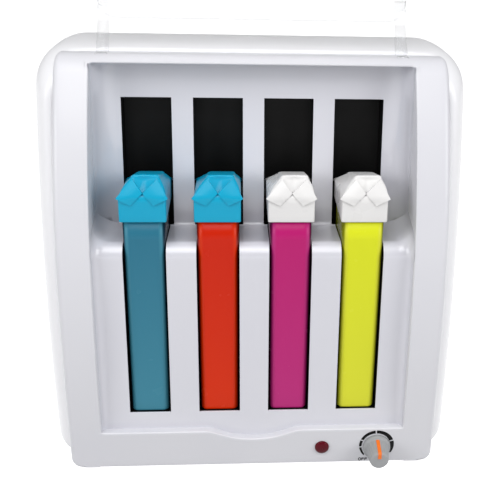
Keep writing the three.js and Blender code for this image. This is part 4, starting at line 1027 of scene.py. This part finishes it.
for n, (*_, slot) in enumerate(BAYS):
    sheets = [sheet(in_bay(leaned_crown(folded_in(cap_rings())), n), closed=True)]
    for side, facing in ((-1, -1), (-1, 1), (1, -1), (1, 1)):
        face, rim = (in_bay(leaned_crown(points), n) for points in cap_flap(side, facing))
        turned_round = side == facing
        sheets += [sheet(face, flipped=turned_round), sheet(rim, closed=True, flipped=not turned_round)]
    piece("folded_cap_%d" % (n + 1), sheets, blue_cap_plastic if slot == "blue_cap" else white_cap_plastic,
          "cap_%d" % (n + 1), ["cartridge_cap_%d" % (n + 1)])

# %% [markdown]
# The controls stand square to the leaning control strip. Their pieces are worked out standing upright, with
# up as the strip's outward direction, and one function turns them and puts them in place. The strip's lean is
# the front line's own lean at that height.

# %% Places on the control strip
DIAL_SIDE, LENS_SIDE, CONTROL_HEIGHT = 76.6, 42.3, 12.0
strip_point, strip_out = on_front(0, at_height(CONTROL_HEIGHT))
strip_axes = np.array([[1.0, 0, 0], [0, strip_out[2], -strip_out[1]], strip_out])


def on_strip(points, side):
    """Upright points (right, up the strip, out) put on the strip at a side position."""
    return np.asarray(points, float) @ strip_axes + strip_point + [side, 0, 0]


def turned(profile, steps, ripple=None):
    """A (radius, height) profile swept round the upright axis; ripple adds to the radius."""
    radius, height = np.asarray(profile, float).T[:, :, None]
    angle = np.linspace(0, 2 * math.pi, steps, endpoint=False)[None, :]
    wavy = radius + (ripple(angle, height) * np.minimum(radius, 1) if ripple else 0)
    return points_of(wavy * np.cos(angle), wavy * np.sin(angle), height)


print("strip faces:", np.round(strip_out, 3).tolist())

# %% [markdown]
# The knob is a tapering cap with a skirt and fine ribs for grip. Its side is a straight taper, so its outline
# is a short list of (radius, height) points with a rounded tip, swept round.

# %% The knob
KNOB_SKIRT, KNOB_WAIST, KNOB_TIP, KNOB_LENGTH = 8.7, 7.2, 5.6, 15.7
KNOB_SEAT, SKIRT_HEIGHT, TIP_EDGE = 0.3, 3.0, 0.9
RIB_COUNT, RIB_DEPTH, RIB_FADE, RIB_END = 24, 0.35, 1.5, 0.6
KNOB_STEPS, SIDE_STEPS, TIP_STEPS = 192, 12, 7


def knob_ribs(angle, height):
    """Ribs round the knob's side, |sin(RIB_COUNT angle / 2)|, that fade out towards the skirt and the tip."""
    fade_low = np.clip((height - SKIRT_HEIGHT - KNOB_SEAT) / RIB_FADE, 0, 1)
    fade_high = np.clip((KNOB_LENGTH - RIB_END - height) / RIB_FADE, 0, 1)
    return RIB_DEPTH * fade_low * fade_high * (np.abs(np.sin(RIB_COUNT / 2 * angle)) - 0.5)


def knob_radius(height):
    """The knob's side: a straight taper from the waist to the tip."""
    return KNOB_WAIST + (KNOB_TIP - KNOB_WAIST) * (height - SKIRT_HEIGHT) / (KNOB_LENGTH - SKIRT_HEIGHT)


tip_line = [(KNOB_TIP - TIP_EDGE * (1 - math.cos(t)), KNOB_LENGTH - TIP_EDGE * (1 - math.sin(t)))
            for t in np.linspace(0, QUARTER, TIP_STEPS)[1:]]
knob_profile = [
    (KNOB_SKIRT - 2, KNOB_SEAT + 0.3), (KNOB_SKIRT - 0.3, KNOB_SEAT), (KNOB_SKIRT, KNOB_SEAT + 0.3),
    (KNOB_SKIRT - 0.2, SKIRT_HEIGHT - 0.4), (KNOB_SKIRT - 0.5, SKIRT_HEIGHT),
    (KNOB_WAIST + 0.3, SKIRT_HEIGHT + 0.05), (KNOB_WAIST, SKIRT_HEIGHT + 0.5),
    *((knob_radius(h), h) for h in np.linspace(SKIRT_HEIGHT + 1, KNOB_LENGTH - TIP_EDGE, SIDE_STEPS)),
    *tip_line, (KNOB_TIP / 2, KNOB_LENGTH - 0.15), (0.01, KNOB_LENGTH - 0.25)]
piece("ribbed_knob", [sheet(on_strip(turned(knob_profile, KNOB_STEPS, knob_ribs), DIAL_SIDE), closed=True)],
      grey_plastic, "dial", ["dial_knob"])

# %% [markdown]
# An orange line runs from the skirt over the knob's side to its tip, so that the setting shows from above and
# from the front. It is a raised strip: its own rounded section, carried along the knob's outline.

# %% The pointer
POINTER_HALF, POINTER_START, POINTER_LIFT, POINTER_STEPS = 1.1, 0.9, 0.1, 14
POINTER_TIP = [(r, KNOB_LENGTH) for r in (3.6, 2.6, 1.8)]
# Across the line, from edge to edge: the share of its half width, and how far it stands off the knob.
POINTER_SECTION = np.array([(-1, -0.5), (-1, 0.12), (-0.7, 0.22), (0, 0.25), (0.7, 0.22), (1, 0.12),
                            (1, -0.5)])


def pointer_grid():
    """The section lifted off the knob's outline along its outward direction."""
    heights = np.linspace(SKIRT_HEIGHT + POINTER_START, KNOB_LENGTH - TIP_EDGE, POINTER_STEPS)
    line = np.array([*((knob_radius(h) + POINTER_LIFT, h) for h in heights), *tip_line, *POINTER_TIP])
    lifted = line[:, None, :] - leftward(line)[:, None, :] * POINTER_SECTION[None, :, 1:]
    return points_of(POINTER_SECTION[:, 0] * POINTER_HALF, *np.moveaxis(lifted, -1, 0))


piece("orange_line", [sheet(on_strip(pointer_grid(), DIAL_SIDE))], pointer_plastic, "dial",
      ["dial_pointer"])

# %% [markdown]
# The lamp's lens is a dark red button: a low dome over a short straight side.

# %% The lens
LENS_RADIUS, LENS_DOME, LENS_SIDE_HEIGHT, LENS_FOOT = 4.4, 1.6, 0.6, 0.02
DOME_POLE, DOME_STEPS, LENS_STEPS = 0.01, 16, 96
dome = [(LENS_RADIUS * math.sin(t), LENS_SIDE_HEIGHT + LENS_DOME * math.cos(t))
        for t in np.linspace(QUARTER, DOME_POLE, DOME_STEPS)]
lens_grid = turned([(LENS_RADIUS, LENS_FOOT), *dome], LENS_STEPS)
piece("lamp_lens", [sheet(on_strip(lens_grid, LENS_SIDE), closed=True)], lens_plastic, "housing",
      ["pilot_lens"])

# %% [markdown]
# A scale is printed round the knob: a black crescent that widens from off to full, broken by white ticks,
# with the word OFF beside its thin end. Print is a skin a few hundredths of a millimetre off the plastic.

# %% The printed scale
INK_LIFT = 0.06
RING_RADIUS, RING_OFFSET = 11.0, np.array([0.1, 0.6, 0])
RING_START, RING_END = math.radians(224), math.radians(-36)
RING_THIN, RING_THICK, RING_GROWTH = 0.9, 2.9, 0.6
RING_POINTS, END_START, END_ROUND = 40, 0.004, 0.02
TICKS, TICK_HALF = [math.radians(a) for a in (187, 158, 94, 19)], math.radians(2.2)
LETTER_HEIGHT, LETTER_WIDTH, LETTER_STEP, LETTER_STROKE = 2.0, 1.35, 2.0, 0.5
WORD_START, ARM_DROP, LETTER_POINTS = np.array([-10.1, -10.0]), 0.2, 25


def crescent(start, end):
    """Part of the crescent between two angles. Its width grows with share^RING_GROWTH of the whole scale."""
    angle = np.linspace(start, end, RING_POINTS)
    share = (RING_START - angle) / (RING_START - RING_END)
    width = RING_THIN + (RING_THICK - RING_THIN) * share ** RING_GROWTH
    end_share = np.sqrt(np.clip((share[-1] - share + END_START) / END_ROUND, 0, 1)) if end == RING_END else 1
    radii = RING_RADIUS - width / 2 + width * end_share * np.array([[-0.5], [0], [0.5]])
    return points_of(radii * np.cos(angle), radii * np.sin(angle), INK_LIFT) + RING_OFFSET


def stroke(points):
    """A flat printed line through (right, up) points."""
    out = leftward(points) * LETTER_STROKE / 2
    return points_of(*np.moveaxis([points + out, points - out], -1, 0), INK_LIFT)


cuts = [RING_START, *TICKS, RING_END]
marks = [crescent(a - (TICK_HALF if a != RING_START else 0), b + (TICK_HALF if b != RING_END else 0))
         for a, b in zip(cuts, cuts[1:])]
turns = np.linspace(0, 2 * math.pi, LETTER_POINTS)
half_letter = np.array([LETTER_WIDTH, LETTER_HEIGHT]) / 2
letter_o = points_of(np.cos(turns), np.sin(turns)) * half_letter
bar = np.array([(-1, -1), (-1, 1)]) * half_letter
arms = [np.array([(-1, 0), (1, 0)]) * half_letter + [0, h] for h in (LETTER_HEIGHT / 2 - ARM_DROP, 0)]
word = [(0, letter_o), *((n, line) for n in (1, 2) for line in (bar, *arms))]
marks += [stroke(line + WORD_START + [n * LETTER_STEP, 0]) for n, line in word]
piece("printed_scale", [sheet(on_strip(mark, DIAL_SIDE), flipped=True) for mark in marks], ink, "housing",
      [])

# %% [markdown]
# The lid is one clear moulding: a thin sheet that follows the housing's front line, with a flange round its
# sides and foot and two lugs at its top. It is worked out closed, where it lies a little in front of the
# housing, and then swung open about its hinge. Three helpers give its edge, its place and its swing.

# %% The lid's outline and swing
LID_HALF, LID_FOOT, LID_TOP = 91.3, 26.0, 231.0
LID_CORNER, LID_FOOT_CORNER, LEAST_CORNER = 12.0, 0.9, 0.05
HINGE, LID_OPEN = np.array([0, 38.5, 247.7]), math.radians(-170)
LID_CORNER_POINTS, LID_SIDE_POINTS, SETTLING_ROUNDS = 9, 40, 3


def lid_outline(inset):
    """The lid's edge seen from the front, (side, height): a rectangle with rounded corners, moved inwards."""
    low, high, half = LID_FOOT + inset, LID_TOP - inset, LID_HALF - inset
    corners = [(half, low, LID_FOOT_CORNER, -QUARTER), (half, high, LID_CORNER, 0),
               (-half, high, LID_CORNER, QUARTER), (-half, low, LID_FOOT_CORNER, 2 * QUARTER)]
    rows = []
    for side, height, radius, start in corners:
        radius = max(radius - inset, LEAST_CORNER)
        middle = side - math.copysign(radius, side), height + (radius if height == low else -radius)
        rows.append(quarter_arc(*middle, radius, start, LID_CORNER_POINTS))
    shares = np.linspace(0, 1, LID_SIDE_POINTS + 2)[1:-1, None]
    return np.concatenate([part for row, after in zip(rows, rows[1:] + rows[:1])
                           for part in (row, row[-1] + (after[0] - row[-1]) * shares)])


def off_front(outline, offset):
    """Outline points put at a distance in front of the front line, still at their own heights: each round
    looks the line up a little higher or lower, by what the last one was out."""
    height = outline[:, 1]
    for _ in range(SETTLING_ROUNDS):
        point, out = on_front(outline[:, 0], at_height(height))
        moved = point + out * offset[:, None]
        height = height + outline[:, 1] - moved[:, 2]
    return moved


def swung(points):
    """Points turned about the hinge's axis from the closed lid to the open one."""
    cos, sin = math.cos(LID_OPEN), math.sin(LID_OPEN)
    return (np.asarray(points) - HINGE) @ np.array([[1, 0, 0], [0, cos, sin], [0, -sin, cos]]) + HINGE


print("lid opens by, degrees:", round(-math.degrees(LID_OPEN)))

# %% [markdown]
# The sheet is made of rings that run from the middle of its outer face over the flange to the middle of its
# inner face. Each ring is the outline moved inwards by an inset and off the housing by an offset.

# %% The lid's sheet
LID_WALL, LID_STANDOFF, LID_FLANGE = 2.0, 3.6, 2.5
LID_EDGE, LID_EASE, INNER_CREASE = 0.8, 0.3, (0.6, 0.2)
FADE_TOP, FADE_LENGTH, SPINE_END = 4.0, 5.0, 20.0
LID_EDGE_RINGS, SPINE_RINGS = 5, 13


def lid_rings():
    """From the spine of the outer face to its edge, over the flange and back to the inner face's spine.
    The flange fades out round the upper corners, because the lid's top edge is plain."""
    edge = lid_outline(0)
    same, outer, inner = np.ones(len(edge)), LID_STANDOFF + LID_WALL, LID_STANDOFF
    fade = eased((LID_TOP - FADE_TOP - edge[:, 1]) / FADE_LENGTH)
    back = -LID_FLANGE * fade + (inner + LID_EASE) * (1 - fade)
    steps = [(LID_EDGE * (1 - math.sin(t)), (outer - LID_EDGE * (1 - math.cos(t))) * same)
             for t in np.linspace(0, QUARTER, LID_EDGE_RINGS)]
    steps += [(0, back * share + (outer - LID_EDGE) * (1 - share)) for share in (0.5, 1)]
    steps += [(LID_EASE, back - LID_EASE * fade), (LID_WALL - LID_EASE, back - LID_EASE * fade),
              (LID_WALL, back), (LID_WALL, np.maximum(back, inner - INNER_CREASE[0])),
              (LID_WALL + INNER_CREASE[1], inner - INNER_CREASE[1] * fade),
              (LID_WALL + LID_EDGE, inner * same)]

    def spine(inset, offset, shares):
        ring = lid_outline(inset)
        core = points_of(0, np.clip(ring[:, 1], LID_FOOT + SPINE_END, LID_TOP - SPINE_END))
        return [off_front(core + (ring - core) * share, offset) for share in shares]

    shares = np.linspace(0, 1, SPINE_RINGS)[:-1]
    return np.stack([*spine(LID_EDGE, outer * same, shares),
                     *(off_front(lid_outline(inset), offset) for inset, offset in steps),
                     *spine(LID_WALL + LID_EDGE, inner * same, shares[::-1])])


print("lid sheet, rings by points:", lid_rings().shape[:2])

# %% [markdown]
# A lug is a flat bent arm with a round eye for the hinge pin. Its middle line is drawn through a few bends
# and smoothed by averaging it with a bell-shaped window, and its outline lies on both sides of that line.

# %% The lid
LUG_SIDE, LUG_HALF, LUG_EYE, LUG_ARM, LUG_EDGE = 86.5, 3.5, 2.6, 1.7, 0.5
LUG_BEND = np.array([-12.1, -7.8])
LUG_FINE, LUG_SOFT, EYE_FINE, EYE_POINTS, LUG_POINTS = 400, 20, 40, 24, 60


def lug_outline(inset):
    """A lug from the side, as the points on both sides of its line. The half thickness is the arm's, and
    near the hinge root(eye^2 - reach^2), which makes the eye."""
    low, high = (on_front(0, at_height(h))[0][1] - LID_STANDOFF for h in (LID_TOP - LID_CORNER, LID_TOP))
    pin = HINGE[1:]
    bends = np.array([pin + [LUG_EYE, 0], pin, pin - [2 * LUG_EYE, 0], pin + LUG_BEND, [high, LID_TOP],
                      [low, LID_TOP - LID_CORNER]])
    run = length_along(bends)
    fine = np.linspace(0, run[-1], LUG_FINE)
    line = points_of(*(np.interp(fine, run, bends[:, n]) for n in (0, 1)))
    window = np.hanning(2 * LUG_SOFT + 1) / np.hanning(2 * LUG_SOFT + 1).sum()
    padded = np.pad(line, ((LUG_SOFT, LUG_SOFT), (0, 0)), "edge")
    soft = points_of(*(np.convolve(padded[:, n], window, "valid") for n in (0, 1)))
    mix = np.clip((fine - 2 * LUG_EYE) / LUG_EYE, 0, 1)[:, None]
    line = line * (1 - mix) + soft * mix
    pick = np.unique(joined(np.linspace(0, EYE_FINE, EYE_POINTS),
                            np.linspace(EYE_FINE, LUG_FINE - 1, LUG_POINTS)).astype(int))
    reach = fine[pick] - LUG_EYE
    eye = np.sqrt(np.clip((LUG_EYE - inset) ** 2 - reach ** 2, 0, None))
    half = np.where(reach > 0, np.maximum(eye, LUG_ARM - inset), eye)
    out = leftward(line)[pick] * half[:, None]
    return line[pick] + out, line[pick] - out


def lug_sheets(side):
    """The lug's rim with bevelled edges, and its two flat ends."""
    rims = []
    flat = LUG_HALF - LUG_EDGE
    for place, inset in ((-LUG_HALF, LUG_EDGE), (-flat, 0), (flat, 0), (LUG_HALF, LUG_EDGE)):
        upper, lower = lug_outline(inset)
        ring = np.concatenate([upper, lower[::-1]])
        rims.append(points_of(side + place, *ring.T))
    rim = swung(np.stack(rims))
    half = rim.shape[1] // 2
    ends = [sheet([rim[row, :half], rim[row, half:][::-1]], flipped=row == 0) for row in (0, -1)]
    return [sheet(rim, closed=True), *ends]


piece("clear_lid", [sheet(swung(lid_rings()), closed=True), *lug_sheets(-LUG_SIDE), *lug_sheets(LUG_SIDE)],
      clear_plastic, "lid", ["lid"])

# %% [markdown]
# The pieces that stay as they were packed are hidden or small, and their solids already have the real form.
# Each still gets its finish, with the names that share one finish kept together.

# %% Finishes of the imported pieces
PACKED_FINISHES = [
    (("heat_well", "power_inlet", "potentiometer"), black_plastic), (("foot",), rubber),
    (("base_screw", "hinge_pin", "potentiometer_nut", "dial_shaft"), plated_steel),
    (("heater_plate",), heater_foil), (("control_board",), board_resin), (("base_plate",), shell_plastic_painted_light),
    (("pilot_lamp",), lamp_glass), (("roller",), natural_plastic)]
finished = [(thing, material) for name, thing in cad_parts.items()
            for starts, material in PACKED_FINISHES if thing.type == "MESH" and name.startswith(starts)]
for thing, material in finished:
    refinish(thing, material)
print("finished pieces:", len({thing.name for thing, _ in finished}))

# %% [markdown]
# The Standard view keeps the white ground white, as in a product photograph.

# %% The last lines
bpy.context.scene.view_settings.view_transform = "Standard"
